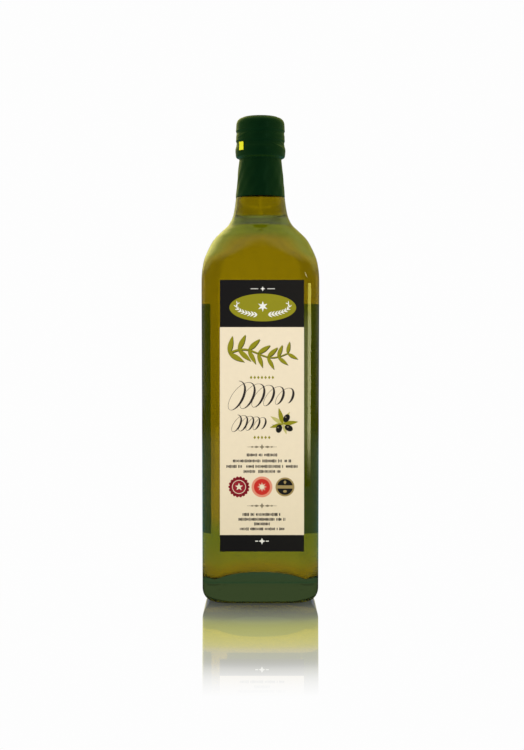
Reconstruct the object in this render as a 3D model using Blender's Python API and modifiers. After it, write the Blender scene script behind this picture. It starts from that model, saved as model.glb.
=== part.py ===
"""A square one litre glass bottle of olive oil with a shrunk capsule, a tear tab and two labels.

Run it with: blender --background --python part.py, or from the text editor.
Units are metres, +Z is up. The bottle stands on the origin and its front face looks along -Y.
"""

import math

import bmesh
import bpy

# Glass outside: a square body with rounded corners that turns into a round neck
BODY_HALF_FOOT = 0.03715
BODY_HALF_TOP = 0.03780
BODY_TOP_Z = 0.2000
CORNER_RADIUS = 0.0110
HEEL_HEIGHT = 0.0100
HEEL_INSET = 0.0084
HEEL_CORNER_RADIUS = 0.0125

# Each station of the shoulder and neck: height, half width, corner radius
# (a corner radius equal to the half width makes the section round)
SHOULDER_OUTSIDE = (
    (0.2090, 0.03775, 0.0114),
    (0.2152, 0.03730, 0.0138),
    (0.2215, 0.03625, 0.0190),
    (0.2291, 0.03370, 0.0278),
    (0.2353, 0.03050, 0.0305),
    (0.2406, 0.02530, 0.0253),
    (0.2446, 0.02120, 0.0212),
    (0.2498, 0.01840, 0.0184),
    (0.2560, 0.01700, 0.0170),
    (0.2627, 0.01612, 0.01612),
)

# Glass inside: the wall is thickest at the base, in the corners and at the root of the neck
WALL = 0.0029
INNER_FOOT_CORNER = 0.0125
INNER_TOP_CORNER = 0.0090
SHOULDER_INSIDE = (
    (0.2090, 0.03475, 0.0085),
    (0.2150, 0.03415, 0.0115),
    (0.2210, 0.03290, 0.0170),
    (0.2275, 0.03070, 0.0250),
    (0.2330, 0.02750, 0.0275),
    (0.2375, 0.02300, 0.0230),
    (0.2412, 0.01800, 0.0180),
    (0.2450, 0.01420, 0.0142),
    (0.2500, 0.01200, 0.0120),
    (0.2560, 0.01120, 0.0112),
    (0.2640, 0.01100, 0.0110),
)
BORE_RADIUS = 0.0108
PUNT_RISE = 0.0045
PUNT_RADIUS = 0.0275

# The inside floor is a low vault from front to back: highest along its ridge, which dips a
# little halfway, lowest near the left and right walls and rising again up to them
FLOOR_EDGE_Z = 0.0150
FLOOR_RIDGE_Z = 0.0207
FLOOR_FALL = 0.0046
FLOOR_ROUNDNESS = 2.5
FLOOR_LOWEST_X = 0.0285
FLOOR_SIDE_SLOPE = 0.40
FLOOR_DIP = 0.0012
FLOOR_FADES_Z = 0.0500
INNER_FILLET = 0.0030

# Neck finish, hidden by the capsule
SKIRT_FOOT_Z = 0.2630
SKIRT_HEAD_Z = 0.2867
CAP_FOOT_Z = 0.2892
FINISH_FOOT_Z = 0.2917
MOUTH_Z = 0.3134
FINISH_RADIUS = 0.0146
MOUTH_ROUND = 0.0010

# Capsule of shrunk film over the cap
TOTAL_HEIGHT = 0.3160
FILM = 0.0005
SKIRT_FOOT_RADIUS = 0.0162
SKIRT_HEAD_RADIUS = 0.0142
CAP_RADIUS = 0.0160
CAP_SHOULDER_ROUND = 0.0030
TOP_DISC_RADIUS = 0.0120
TOP_DISC_RISE = 0.0006
CAP_TOP_THICKNESS = 0.0016
CAP_INNER_FOOT_Z = 0.2894
CAP_INNER_SHOULDER_Z = 0.2910
# Height of each lip that the cap's rim presses into the film, and the lip's profile:
# distance out from the cap's side, height above the lip
LIP_HEIGHTS = (0.3066, 0.3000)
LIP_PROFILE = ((0.0, 0.0022), (0.00015, 0.0), (-0.0002, -0.0010), (-0.0002, -0.0026))
# Bead round the cap's foot and the neck under it: radius, height
BEAD_RADIUS = 0.0164
BEAD_PROFILE = (
    (CAP_RADIUS, 0.2962),
    (0.0163, 0.2948),
    (BEAD_RADIUS, 0.2932),
    (0.0162, 0.2904),
    (0.0159, CAP_FOOT_Z),
    (0.0147, 0.2879),
)

# Yellow end of the tear strip, on the capsule's left front
TAB_WIDTH = 0.0040
TAB_FOOT_Z = 0.2930
TAB_HEAD_Z = 0.2984
TAB_THICKNESS = 0.0003
TAB_FROM_FRONT = math.radians(49)

# Labels
LABEL_THICKNESS = 0.0002
FRONT_LABEL_SIZE = (0.0534, 0.1725)
FRONT_LABEL_MIDDLE = (0.0010, 0.1204)
BACK_LABEL_SIZE = (0.0500, 0.1535)
BACK_LABEL_MIDDLE = (0.0030, 0.11665)

# Olive oil: one litre reaches into the neck
OIL_LEVEL_Z = 0.2720
GAP = 0.0003
HAIR = 0.0001

# Fineness of the meshes
FLAT_STEPS = 3
CORNER_STEPS = 4
CORNER_OPENS_AT = math.radians(34)
SPAN_STEPS = 2
ARC_STEPS = 4
PUNT_STEPS = 4
FLOOR_STEPS = 5
TURN_STEPS = 48
TAB_STEPS = 5

COLOURS = {
    "glass_bottle": ((0.16, 0.22, 0.10), 0.04, 0.0),
    "olive_oil": ((0.42, 0.30, 0.01), 0.10, 0.0),
    "capsule": ((0.004, 0.030, 0.006), 0.32, 0.0),
    "tear_tab": ((0.85, 0.75, 0.02), 0.40, 0.0),
    "front_label": ((0.82, 0.71, 0.50), 0.60, 0.0),
    "back_label": ((0.82, 0.71, 0.50), 0.60, 0.0),
}


def clear_scene():
    for obj in list(bpy.data.objects):
        bpy.data.objects.remove(obj, do_unlink=True)


def new_collection(name):
    collection = bpy.data.collections.new(name)
    bpy.context.scene.collection.children.link(collection)
    return collection


def material_for(name):
    colour, roughness, metallic = COLOURS[name]
    material = bpy.data.materials.new(name)
    material.use_nodes = True
    shader = material.node_tree.nodes["Principled BSDF"]
    shader.inputs["Base Color"].default_value = (*colour, 1.0)
    shader.inputs["Roughness"].default_value = roughness
    shader.inputs["Metallic"].default_value = metallic
    return material


def add_object(name, data, collection):
    obj = bpy.data.objects.new(name, data)
    collection.objects.link(obj)
    data.materials.append(material_for(name))
    return obj


def body_half_width(z):
    """Half the width of the glass between heel and shoulder, where the faces lean out a little."""
    share = (z - HEEL_HEIGHT) / (BODY_TOP_Z - HEEL_HEIGHT)
    return BODY_HALF_FOOT + share * (BODY_HALF_TOP - BODY_HALF_FOOT)


def spoke_angles():
    """Directions from the axis to a ring's points, closer together at the four corners."""
    flat = [CORNER_OPENS_AT * i / FLAT_STEPS for i in range(FLAT_STEPS)]
    to_corner = math.pi / 4 - CORNER_OPENS_AT
    corner = [CORNER_OPENS_AT + to_corner * i / CORNER_STEPS for i in range(CORNER_STEPS + 1)]
    eighth = flat + corner
    quarter = eighth + [math.pi / 2 - angle for angle in reversed(eighth[1:-1])]
    return [angle + math.pi / 2 * side for side in range(4) for angle in quarter]


def reach(half_width, corner_radius, angle):
    """Distance from the axis to the edge of a square with round corners, in one direction."""
    across, along = sorted((abs(math.cos(angle)), abs(math.sin(angle))))
    centre = half_width - corner_radius
    if across * half_width <= centre * along:
        return half_width / along
    aside = centre * (along - across)
    return centre * (along + across) + math.sqrt(max(corner_radius**2 - aside**2, 0.0))


def smooth_spans(stations, steps):
    """Points on the curve through the stations, which starts and ends along its end spans."""
    first = [2 * a - b for a, b in zip(stations[0], stations[1])]
    last = [2 * a - b for a, b in zip(stations[-1], stations[-2])]
    points = [first, *stations, last]
    found = []
    for before, start, end, after in zip(points, points[1:], points[2:], points[3:]):
        for step in range(steps):
            t = step / steps
            found.append([
                0.5 * (
                    2 * p1
                    + (p2 - p0) * t
                    + (2 * p0 - 5 * p1 + 4 * p2 - p3) * t**2
                    + (3 * p1 - p0 - 3 * p2 + p3) * t**3
                )
                for p0, p1, p2, p3 in zip(before, start, end, after)
            ])
    found.append(stations[-1])
    return [(z, half, min(corner, half)) for z, half, corner in found]


def punt_ring(share):
    """A round ring of the dome pushed up into the base, from its middle (0) to its foot (1)."""
    height = PUNT_RISE * math.cos(math.pi / 2 * share) ** 2
    return (height, PUNT_RADIUS * share, PUNT_RADIUS * share)


def outside_rings():
    """Rings of the glass outside, from the middle of the base up to the mouth."""
    rings = [punt_ring(i / PUNT_STEPS) for i in range(1, PUNT_STEPS + 1)]
    for i in range(ARC_STEPS + 1):
        turn = math.pi / 2 * i / ARC_STEPS
        inset = HEEL_INSET * (1 - math.sin(turn))
        corner = CORNER_RADIUS + (HEEL_CORNER_RADIUS - CORNER_RADIUS) * inset / HEEL_INSET
        rings.append((HEEL_HEIGHT * (1 - math.cos(turn)), BODY_HALF_FOOT - inset, corner))
    body_top = (BODY_TOP_Z, BODY_HALF_TOP, CORNER_RADIUS)
    rings += smooth_spans((body_top, *SHOULDER_OUTSIDE), SPAN_STEPS)
    neck_foot = SKIRT_FOOT_RADIUS - FILM - GAP
    neck_head = SKIRT_HEAD_RADIUS - FILM - GAP
    upper = [
        (SKIRT_FOOT_Z - HAIR, neck_foot),
        (SKIRT_HEAD_Z, neck_head),
        (CAP_FOOT_Z + FILM + GAP, neck_head),
        (FINISH_FOOT_Z, FINISH_RADIUS),
        (MOUTH_Z - MOUTH_ROUND, FINISH_RADIUS),
        (MOUTH_Z, FINISH_RADIUS - MOUTH_ROUND),
    ]
    return rings + [(z, radius, radius) for z, radius in upper]


def inside_rings(clearance=0.0):
    """Rings of the glass inside, or clear of it, from the middle of the base up to the neck."""
    wall = WALL + clearance
    foot_corner = INNER_FOOT_CORNER - clearance
    top_corner = INNER_TOP_CORNER - clearance
    flat_half = BODY_HALF_FOOT - wall - INNER_FILLET
    flat_corner = foot_corner - INNER_FILLET
    floor_z = FLOOR_EDGE_Z + clearance
    rings = []
    for i in range(1, FLOOR_STEPS):
        half = flat_half * i / FLOOR_STEPS
        squareness = (i / FLOOR_STEPS) ** 3
        rings.append((floor_z, half, half + (flat_corner - half) * squareness))
    for i in range(ARC_STEPS + 1):
        turn = math.pi / 2 * i / ARC_STEPS
        height = floor_z + INNER_FILLET * (1 - math.cos(turn))
        grown = INNER_FILLET * math.sin(turn)
        rings.append((height, flat_half + grown, flat_corner + grown))
    fade_share = (FLOOR_FADES_Z - HEEL_HEIGHT) / (BODY_TOP_Z - HEEL_HEIGHT)
    fade_corner = foot_corner + fade_share * (top_corner - foot_corner)
    rings.append((FLOOR_FADES_Z, body_half_width(FLOOR_FADES_Z) - wall, fade_corner))
    stations = [(BODY_TOP_Z, BODY_HALF_TOP - WALL, INNER_TOP_CORNER), *SHOULDER_INSIDE]
    spans = smooth_spans(stations, SPAN_STEPS)
    return rings + [(z, half - clearance, corner - clearance) for z, half, corner in spans]


def floor_lift(x, y, height):
    """How far the vaulted floor lifts a point of the inside, which fades up the walls."""
    past = abs(x) / FLOOR_LOWEST_X
    fall = FLOOR_FALL * min(past, 1.0) ** FLOOR_ROUNDNESS
    side = FLOOR_SIDE_SLOPE * max(abs(x) - FLOOR_LOWEST_X, 0.0)
    halfway = 1 - (y / (BODY_HALF_FOOT - WALL)) ** 2
    vault = FLOOR_RIDGE_Z - fall + side - FLOOR_DIP * halfway
    fillet_top = FLOOR_EDGE_Z + INNER_FILLET
    fade = min(max((FLOOR_FADES_Z - height) / (FLOOR_FADES_Z - fillet_top), 0.0), 1.0)
    return (vault - FLOOR_EDGE_Z) * fade


def add_ring(mesh, ring, angles, is_inside):
    height, half, corner = ring
    verts = []
    for angle in angles:
        distance = reach(half, corner, angle)
        x, y = distance * math.cos(angle), distance * math.sin(angle)
        lift = floor_lift(x, y, height) if is_inside else 0.0
        verts.append(mesh.verts.new((x, y, height + lift)))
    return verts


def skin_between(mesh, first, second):
    """Triangles split the same way whichever ring is lower, so that the oil's fit the glass's."""
    rising = first[0].co.z < second[0].co.z
    for i in range(len(first)):
        j = (i + 1) % len(first)
        if rising:
            mesh.faces.new((first[i], first[j], second[i]))
            mesh.faces.new((first[j], second[j], second[i]))
        else:
            mesh.faces.new((first[i], first[j], second[j]))
            mesh.faces.new((first[i], second[j], second[i]))


def fan(mesh, ring, middle):
    count = len(ring)
    for i in range(count):
        mesh.faces.new((ring[i], ring[(i + 1) % count], middle))


def lofted(name, start_z, outer, inner, end_z, collection):
    """A closed body through outer and inner rings, with a point on the axis at each end."""
    mesh = bmesh.new()
    angles = spoke_angles()
    loops = [add_ring(mesh, ring, angles, False) for ring in outer]
    loops += [add_ring(mesh, ring, angles, True) for ring in inner]
    fan(mesh, list(reversed(loops[0])), mesh.verts.new((0, 0, start_z)))
    for lower, upper in zip(loops, loops[1:]):
        skin_between(mesh, lower, upper)
    fan(mesh, loops[-1], mesh.verts.new((0, 0, end_z)))
    data = bpy.data.meshes.new(name)
    mesh.to_mesh(data)
    mesh.free()
    data.shade_smooth()
    data.set_sharp_from_angle(angle=math.radians(40))
    return add_object(name, data, collection)


def make_glass(collection):
    """One wall: up the outside, over the mouth and down the inside."""
    mouth = (MOUTH_Z, BORE_RADIUS + MOUTH_ROUND, BORE_RADIUS + MOUTH_ROUND)
    lip = (MOUTH_Z - MOUTH_ROUND, BORE_RADIUS, BORE_RADIUS)
    outer = [*outside_rings(), mouth, lip]
    inner = list(reversed(inside_rings()))
    return lofted("glass_bottle", PUNT_RISE, outer, inner, FLOOR_RIDGE_Z - FLOOR_DIP, collection)


def make_oil(collection):
    """The oil fills the glass up to its level, a gap's width clear of the wall."""
    neck_radius = BORE_RADIUS - GAP
    rings = [*inside_rings(GAP), (OIL_LEVEL_Z, neck_radius, neck_radius)]
    bottom = FLOOR_RIDGE_Z - FLOOR_DIP + GAP
    return lofted("olive_oil", bottom, [], rings, OIL_LEVEL_Z, collection)


def arc(centre_x, centre_z, radius, start, end, steps):
    """Points of an arc in the XZ plane, angles measured from +X."""
    found = []
    for i in range(steps + 1):
        angle = start + (end - start) * i / steps
        found.append((centre_x + radius * math.cos(angle), centre_z + radius * math.sin(angle)))
    return found


def capsule_outside():
    """Outer outline of the capsule, from the middle of its top down to the skirt's foot."""
    rim_z = TOTAL_HEIGHT - TOP_DISC_RISE
    round_x = CAP_RADIUS - CAP_SHOULDER_ROUND
    round_z = rim_z - CAP_SHOULDER_ROUND
    outline = [
        (0.0, TOTAL_HEIGHT),
        (TOP_DISC_RADIUS - TOP_DISC_RISE, TOTAL_HEIGHT),
        (TOP_DISC_RADIUS, rim_z),
        *arc(round_x, round_z, CAP_SHOULDER_ROUND, math.pi / 2, 0, ARC_STEPS + 1),
    ]
    for lip_z in LIP_HEIGHTS:
        outline += [(CAP_RADIUS + out, lip_z + up) for out, up in LIP_PROFILE]
    return [
        *outline,
        *BEAD_PROFILE,
        (SKIRT_HEAD_RADIUS, SKIRT_HEAD_Z),
        (SKIRT_FOOT_RADIUS, SKIRT_FOOT_Z + FILM),
        (SKIRT_FOOT_RADIUS - HAIR, SKIRT_FOOT_Z),
    ]


def capsule_inside():
    """Inner outline of the capsule, from the skirt's foot up to the middle of its top."""
    inner_top = TOTAL_HEIGHT - CAP_TOP_THICKNESS
    return [
        (SKIRT_FOOT_RADIUS - FILM, SKIRT_FOOT_Z),
        (SKIRT_HEAD_RADIUS - FILM, SKIRT_HEAD_Z),
        (SKIRT_HEAD_RADIUS - FILM, CAP_INNER_FOOT_Z),
        (FINISH_RADIUS + GAP, CAP_INNER_SHOULDER_Z),
        (FINISH_RADIUS + GAP, inner_top - MOUTH_ROUND),
        (FINISH_RADIUS - MOUTH_ROUND, inner_top),
        (0.0, inner_top),
    ]


def turned(name, outline, collection):
    """A body made by turning a closed outline about the Z axis."""
    data = bpy.data.meshes.new(name)
    points = [(x, 0.0, z) for x, z in outline]
    edges = [(i, i + 1) for i in range(len(points) - 1)]
    data.from_pydata(points, edges, [])
    obj = add_object(name, data, collection)
    screw = obj.modifiers.new("Turn", "SCREW")
    screw.angle = math.tau
    screw.steps = TURN_STEPS
    screw.render_steps = TURN_STEPS
    screw.use_merge_vertices = True
    screw.merge_threshold = 0.00001
    screw.use_smooth_shade = True
    return obj


def make_capsule(collection):
    return turned("capsule", capsule_outside() + capsule_inside(), collection)


def make_tear_tab(collection):
    """A short upright line turned through the tab's width and given a thickness."""
    radius = BEAD_RADIUS + GAP
    swing = TAB_WIDTH / radius
    data = bpy.data.meshes.new("tear_tab")
    data.from_pydata([(radius, 0, TAB_HEAD_Z), (radius, 0, TAB_FOOT_Z)], [(0, 1)], [])
    tab = add_object("tear_tab", data, collection)
    tab.rotation_euler.z = -math.pi / 2 - TAB_FROM_FRONT - swing / 2
    turn = tab.modifiers.new("Turn", "SCREW")
    turn.angle = swing
    turn.steps = TAB_STEPS
    turn.render_steps = TAB_STEPS
    turn.use_smooth_shade = True
    thickness = tab.modifiers.new("Thickness", "SOLIDIFY")
    thickness.thickness = TAB_THICKNESS
    thickness.offset = 1.0
    return tab


def make_label(name, size, middle, side, collection):
    """A flat sheet against the front (-1) or back (1) face, leaning out with it."""
    curve = bpy.data.curves.new(name, "CURVE")
    curve.dimensions = "2D"
    curve.fill_mode = "BOTH"
    curve.extrude = LABEL_THICKNESS / 2
    spline = curve.splines.new("POLY")
    half_x, half_y = size[0] / 2, size[1] / 2
    corners = ((-half_x, -half_y), (half_x, -half_y), (half_x, half_y), (-half_x, half_y))
    spline.points.add(len(corners) - 1)
    for point, (x, y) in zip(spline.points, corners):
        point.co = (x, y, 0, 1)
    spline.use_cyclic_u = True
    label = add_object(name, curve, collection)
    lean = math.atan2(BODY_HALF_TOP - BODY_HALF_FOOT, BODY_TOP_Z - HEEL_HEIGHT)
    depth = body_half_width(middle[1]) + GAP + LABEL_THICKNESS / 2
    label.location = (middle[0], side * depth, middle[1])
    label.rotation_euler = (math.pi / 2 - side * lean, 0, 0)
    return label


def main():
    clear_scene()
    parts = new_collection("olive_oil_bottle")
    make_glass(parts)
    make_oil(parts)
    make_capsule(parts)
    make_tear_tab(parts)
    make_label("front_label", FRONT_LABEL_SIZE, FRONT_LABEL_MIDDLE, -1, parts)
    make_label("back_label", BACK_LABEL_SIZE, BACK_LABEL_MIDDLE, 1, parts)


main()
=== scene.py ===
"""Looks of a square one litre olive oil bottle: glass, oil, shrunk capsule, tear tab, two printed labels.

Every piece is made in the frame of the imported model: metres, +Z up, front face along -Y.
"""

import math

import bmesh
import bpy
import numpy as np
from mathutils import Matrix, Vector


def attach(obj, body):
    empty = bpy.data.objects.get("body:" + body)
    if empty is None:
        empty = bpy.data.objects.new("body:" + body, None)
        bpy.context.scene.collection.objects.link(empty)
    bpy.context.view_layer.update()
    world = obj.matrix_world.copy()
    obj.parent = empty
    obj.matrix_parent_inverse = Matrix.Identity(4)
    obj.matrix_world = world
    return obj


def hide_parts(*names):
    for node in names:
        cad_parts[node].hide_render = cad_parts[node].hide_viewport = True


bl_info = {
    "name": "Olive oil bottle",
    "version": (1, 0, 0),
    "blender": (4, 5, 0),
    "location": "View3D > Sidebar > Bottle",
    "description": "Makes a square bottle of olive oil with its capsule, labels and studio",
    "category": "Object",
}

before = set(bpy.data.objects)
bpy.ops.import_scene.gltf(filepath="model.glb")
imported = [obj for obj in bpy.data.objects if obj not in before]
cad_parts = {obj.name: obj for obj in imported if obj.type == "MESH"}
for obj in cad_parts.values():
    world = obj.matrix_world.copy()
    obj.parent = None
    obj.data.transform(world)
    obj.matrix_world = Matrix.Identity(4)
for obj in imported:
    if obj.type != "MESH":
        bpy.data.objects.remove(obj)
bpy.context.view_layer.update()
BODY = "root"

# Glass outside, as in the solids: foot and top of the flat faces, heel, shoulder and neck
BODY_HALF_FOOT = 0.03715
BODY_HALF_TOP = 0.03780
BODY_TOP_Z = 0.2000
CORNER_RADIUS = 0.0110
HEEL_HEIGHT = 0.0100
HEEL_INSET = 0.0084
HEEL_CORNER_RADIUS = 0.0125
# Stations are height, half width and corner radius, which makes the section round where it
# equals the half width
SHOULDER_OUTSIDE = (
    (0.2090, 0.03775, 0.0114),
    (0.2152, 0.03730, 0.0138),
    (0.2215, 0.03625, 0.0190),
    (0.2291, 0.03370, 0.0278),
    (0.2353, 0.03050, 0.0305),
    (0.2406, 0.02530, 0.0253),
    (0.2446, 0.02120, 0.0212),
    (0.2498, 0.01840, 0.0184),
    (0.2560, 0.01700, 0.0170),
    (0.2627, 0.01612, 0.01612),
)

# Glass inside
WALL = 0.0029
SHOULDER_INSIDE = (
    (0.2090, 0.03475, 0.0085),
    (0.2150, 0.03415, 0.0115),
    (0.2210, 0.03290, 0.0170),
    (0.2275, 0.03070, 0.0250),
    (0.2330, 0.02750, 0.0275),
    (0.2375, 0.02300, 0.0230),
    (0.2412, 0.01800, 0.0180),
    (0.2450, 0.01420, 0.0142),
    (0.2500, 0.01200, 0.0120),
    (0.2560, 0.01120, 0.0112),
    (0.2640, 0.01100, 0.0110),
)
BORE_RADIUS = 0.0108
PUNT_RISE = 0.0045
PUNT_RADIUS = 0.0275
# The inside floor is a low vault from front to back, a little lower in its middle
FLOOR_RIDGE_Z = 0.0207
FLOOR_FALL = 0.0046
FLOOR_LOWEST = 0.0285
FLOOR_ROUNDNESS = 2.5
FLOOR_SIDE_SLOPE = 0.40
FLOOR_DIP = 0.0012
FLOOR_EDGE_Z = 0.0150
INNER_FILLET = 0.0030
INNER_FOOT_CORNER = 0.0125
INNER_TOP_CORNER = 0.0090
LIFT_END_Z = 0.0500

# Neck finish and capsule
SKIRT_FOOT_Z = 0.2630
SKIRT_HEAD_Z = 0.2867
CAP_FOOT_Z = 0.2892
MOUTH_Z = 0.3134
FINISH_RADIUS = 0.0146
MOUTH_ROUND = 0.0010
TOTAL_HEIGHT = 0.3160
FILM = 0.0005
SKIRT_FOOT_RADIUS = 0.0162
SKIRT_HEAD_RADIUS = 0.0142
CAP_RADIUS = 0.0160
BEAD_RADIUS = 0.0164
BEAD_TOP_Z = 0.2962
LIP_HEIGHTS = (0.3066, 0.3000)
GAP = 0.0003
CAPSULE_STEPS = 288

# Tear tab
TAB_WIDTH = 0.0040
TAB_FOOT_Z = 0.2930
TAB_HEAD_Z = 0.2984
TAB_FROM_FRONT = math.radians(49)
TAB_LIFT = 0.00012
TAB_THICKNESS = 0.00022

# Labels: size, and middle across and up
FRONT_SIZE = (0.0534, 0.1725)
FRONT_MIDDLE = (0.0010, 0.1204)
BACK_SIZE = (0.0500, 0.1535)
BACK_MIDDLE = (0.0030, 0.11665)
# Back label: how far off the glass its outer paper starts and its inner sheet, which glows with painted
# light, ends
BACK_OUTER_FOOT = 0.00004
BACK_INSIDE_HEAD = 0.00008

# Oil: its level in the neck, and how far it reaches into the glass wall
OIL_LEVEL_Z = 0.2720
OIL_REACH = 0.00005

# Edges that turn more sharply than this stay crisp
SHARP = math.radians(50)

# How far the paper's face stands off the glass and how far the paper reaches into it, then
# the thickness of one ply of print and how far it sinks into the ply below
LABEL_FACE = 0.00020
LABEL_REACH = 0.00006
PLY = 0.00006
BURY = 0.00002

# Front print: places are across from the label's middle and up from the floor
HEAD_BAND = 0.0300
FOOT_BAND = 0.0105
OVAL_X = 0.0005
OVAL_Y = 0.1891
OVAL_RADII = (0.0212, 0.0088)
WREATH_Y = 0.1900
WREATH_RADII = (0.0168, 0.0056)
HEAD_MARKS_Y = 0.2010
FOOT_MARKS_RISE = 0.0066
BRANCH_START_X = -0.0212
BRANCH_LENGTH = 0.0372
BRANCH_Y = 0.1600
SPRIG_X = 0.0132
SPRIG_Y = 0.1152
LOZENGE_ROWS = ((0.1447, 7), (0.1066, 5))
DIVIDER_HEIGHTS = (0.1006, 0.0632)
SEAL_Y = 0.0752
SEAL_X = (-0.0146, 0.0, 0.0146)
FRONT_ROWS = (
    (0.0, 0.0955, 0.0195),
    (0.0, 0.0917, 0.0370),
    (0.0, 0.0882, 0.0455),
    (0.0, 0.0850, 0.0236),
    (0.0, 0.0577, 0.0250),
    (0.0, 0.0546, 0.0300),
    (0.0, 0.0517, 0.0120),
    (0.0, 0.0485, 0.0285),
)

# Back print
BACK_HEAD_BAND = 0.0150
BACK_FOOT_BAND = 0.0060
TABLE_FOOT_Y = 0.1000
TABLE_HEAD_Y = 0.1360
TABLE_WIDTH = 0.0420
TABLE_COLUMN_X = 0.0085
TABLE_ROWS = 7
RULE_WIDTH = 0.0003
BARS_X = -0.0205
BARS_Y = 0.0590
BACK_ROW_PITCH = 0.0033

# Small print: ticks this far apart, and the share of them left out
TICK_PITCH = 0.00085
TICK_GAPS = 0.13

INK_COLOURS = {
    "black": "#1A1516",
    "olive_green": "#948E00",
    "dark_olive": "#4A4A08",
    "opaque_white": "#F4F2EA",
    "sepia": "#332B2A",
    "pale_leaf": "#C6BE72",
    "grey_brown": "#8C8068",
    "crimson": "#9E1226",
    "red": "#D2281E",
    "salmon": "#E8957A",
    "gold": "#A8905A",
    "cream": "#F0E4C8",
}

# Heights between which the painted pale band at the neck's root sets in and fades
ROOT_PAINTED_BAND_FOOT = (0.2434, 0.2450)
ROOT_PAINTED_BAND_HEAD = (0.2500, 0.2482)

# Studio
FLOOR_WIDTH = 6.0
FLOOR_GAP = 0.00005
CARD_AWAY = 0.9
CARD_HEAD_Z = 0.262
CARD_TURN = math.radians(38)
CARD_HALF_TURN = math.radians(23)
CARD_SPANS = 16
# Linear colours
WHITE = (1.0, 1.0, 1.0)
BLACK = (0.0, 0.0, 0.0)
DIM = (0.012, 0.012, 0.012)
# How much of the floor's mirror image shows, by the share of its reach: blue fades last,
# so the floor's white turns golden there: painted light, for what the oil throws on the floor
MIRROR_WARM = (
    (0.0, 0.0), (0.07, 0.0), (0.09, 0.95), (0.13, 0.95), (0.19, 0.88), (0.28, 0.80), (0.36, 0.66),
    (0.42, 0.60), (0.573, 0.53), (0.71, 0.50), (0.80, 0.30), (0.90, 0.10), (1.0, 0.0),
)
MIRROR_BLUE = (
    (0.0, 0.0), (0.07, 0.0), (0.09, 0.95), (0.13, 0.95), (0.19, 0.90), (0.28, 0.86), (0.42, 0.85),
    (0.573, 0.76), (0.64, 0.62), (0.71, 0.56), (0.80, 0.33), (0.90, 0.11), (1.0, 0.0),
)

# The photograph's height, and how far its middle lies off the lens axis, in pixels
IMAGE_HEIGHT = 750
IMAGE_SHIFT = (1.6, -10.3)


def linear(hex_colour):
    """Linear RGBA of an sRGB hex colour."""
    found = []
    for i in (1, 3, 5):
        c = int(hex_colour[i:i + 2], 16) / 255
        found.append(c / 12.92 if c <= 0.04045 else ((c + 0.055) / 1.055) ** 2.4)
    return (*found, 1.0)


def add_node(tree, kind, inputs=None, **settings):
    """One node with its settings. An input is a value, or a socket of another node to link."""
    made = tree.nodes.new(kind)
    for key, value in settings.items():
        setattr(made, key, value)
    for key, value in (inputs or {}).items():
        if isinstance(value, bpy.types.NodeSocket):
            tree.links.new(value, made.inputs[key])
        else:
            made.inputs[key].default_value = value
    return made


def empty_material(name):
    """A node material without nodes. Its tree comes back too."""
    material = bpy.data.materials.new(name)
    material.use_nodes = True
    material.node_tree.nodes.clear()
    return material, material.node_tree


def new_material(name, principled):
    """A node material with one Principled shader. Its tree and shader come back for patterns."""
    material, tree = empty_material(name)
    shader = add_node(tree, "ShaderNodeBsdfPrincipled", principled)
    add_node(tree, "ShaderNodeOutputMaterial", {"Surface": shader.outputs["BSDF"]})
    return material, tree, shader


def object_coords(tree):
    return add_node(tree, "ShaderNodeTexCoord").outputs["Object"]


def parts_of(tree, vector):
    """The X, Y and Z of a vector."""
    return add_node(tree, "ShaderNodeSeparateXYZ", {"Vector": vector}).outputs


def vector_of(tree, **parts):
    """A vector from its X, Y and Z."""
    return add_node(tree, "ShaderNodeCombineXYZ", parts).outputs[0]


def calc(tree, operation, *values, **settings):
    """The result of one Math node."""
    inputs = dict(enumerate(values))
    return add_node(tree, "ShaderNodeMath", inputs, operation=operation, **settings).outputs[0]


def product(tree, *factors):
    """The factors multiplied together."""
    found = factors[0]
    for factor in factors[1:]:
        found = calc(tree, "MULTIPLY", found, factor)
    return found


def vector_calc(tree, operation, *values):
    """The result of one Vector Math node."""
    inputs = dict(enumerate(values))
    return add_node(tree, "ShaderNodeVectorMath", inputs, operation=operation).outputs[0]


def spread(tree, value, start, end, low=0.0, high=1.0, smooth=True):
    """The value taken from one range to another, clamped, and eased at both ends if smooth."""
    inputs = {"Value": value, "From Min": start, "From Max": end, "To Min": low, "To Max": high}
    kind = "SMOOTHSTEP" if smooth else "LINEAR"
    return add_node(tree, "ShaderNodeMapRange", inputs, interpolation_type=kind).outputs[0]


def blend(tree, factor, first, second):
    """Two colours mixed. Each is a socket, or linear red, green and blue."""
    inputs = {"Factor": factor}
    for key, colour in (("A", first), ("B", second)):
        is_socket = isinstance(colour, bpy.types.NodeSocket)
        inputs[key] = colour if is_socket else (*colour[:3], 1.0)
    return add_node(tree, "ShaderNodeMix", inputs, data_type="RGBA").outputs["Result"]


def noise(tree, place, scale, detail):
    inputs = {"Vector": place, "Scale": scale, "Detail": detail}
    return add_node(tree, "ShaderNodeTexNoise", inputs).outputs["Fac"]


def mottled(tree, shader, factor, colour, spread_by):
    """Gives the shader the colour, a little darker and lighter by turns."""
    darker = [c * (1 - spread_by[0]) for c in colour[:3]]
    lighter = [min(c * (1 + spread_by[1]), 1.0) for c in colour[:3]]
    tone = blend(tree, factor, darker, lighter)
    tree.links.new(tone, shader.inputs["Base Color"])
    return tone


def bumped(tree, shader, height, strength, distance):
    """Gives the shader's surface shallow bumps, so many metres high."""
    inputs = {"Height": height, "Strength": strength, "Distance": distance}
    bump = add_node(tree, "ShaderNodeBump", inputs)
    tree.links.new(bump.outputs["Normal"], shader.inputs["Normal"])


def absorbing(tree, colour, density):
    """Makes what is inside the surface swallow light."""
    inputs = {"Color": (*colour, 1.0), "Density": density}
    volume = add_node(tree, "ShaderNodeVolumeAbsorption", inputs)
    output = next(n for n in tree.nodes if n.bl_idname == "ShaderNodeOutputMaterial")
    tree.links.new(volume.outputs["Volume"], output.inputs["Volume"])


# Finishes


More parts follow.
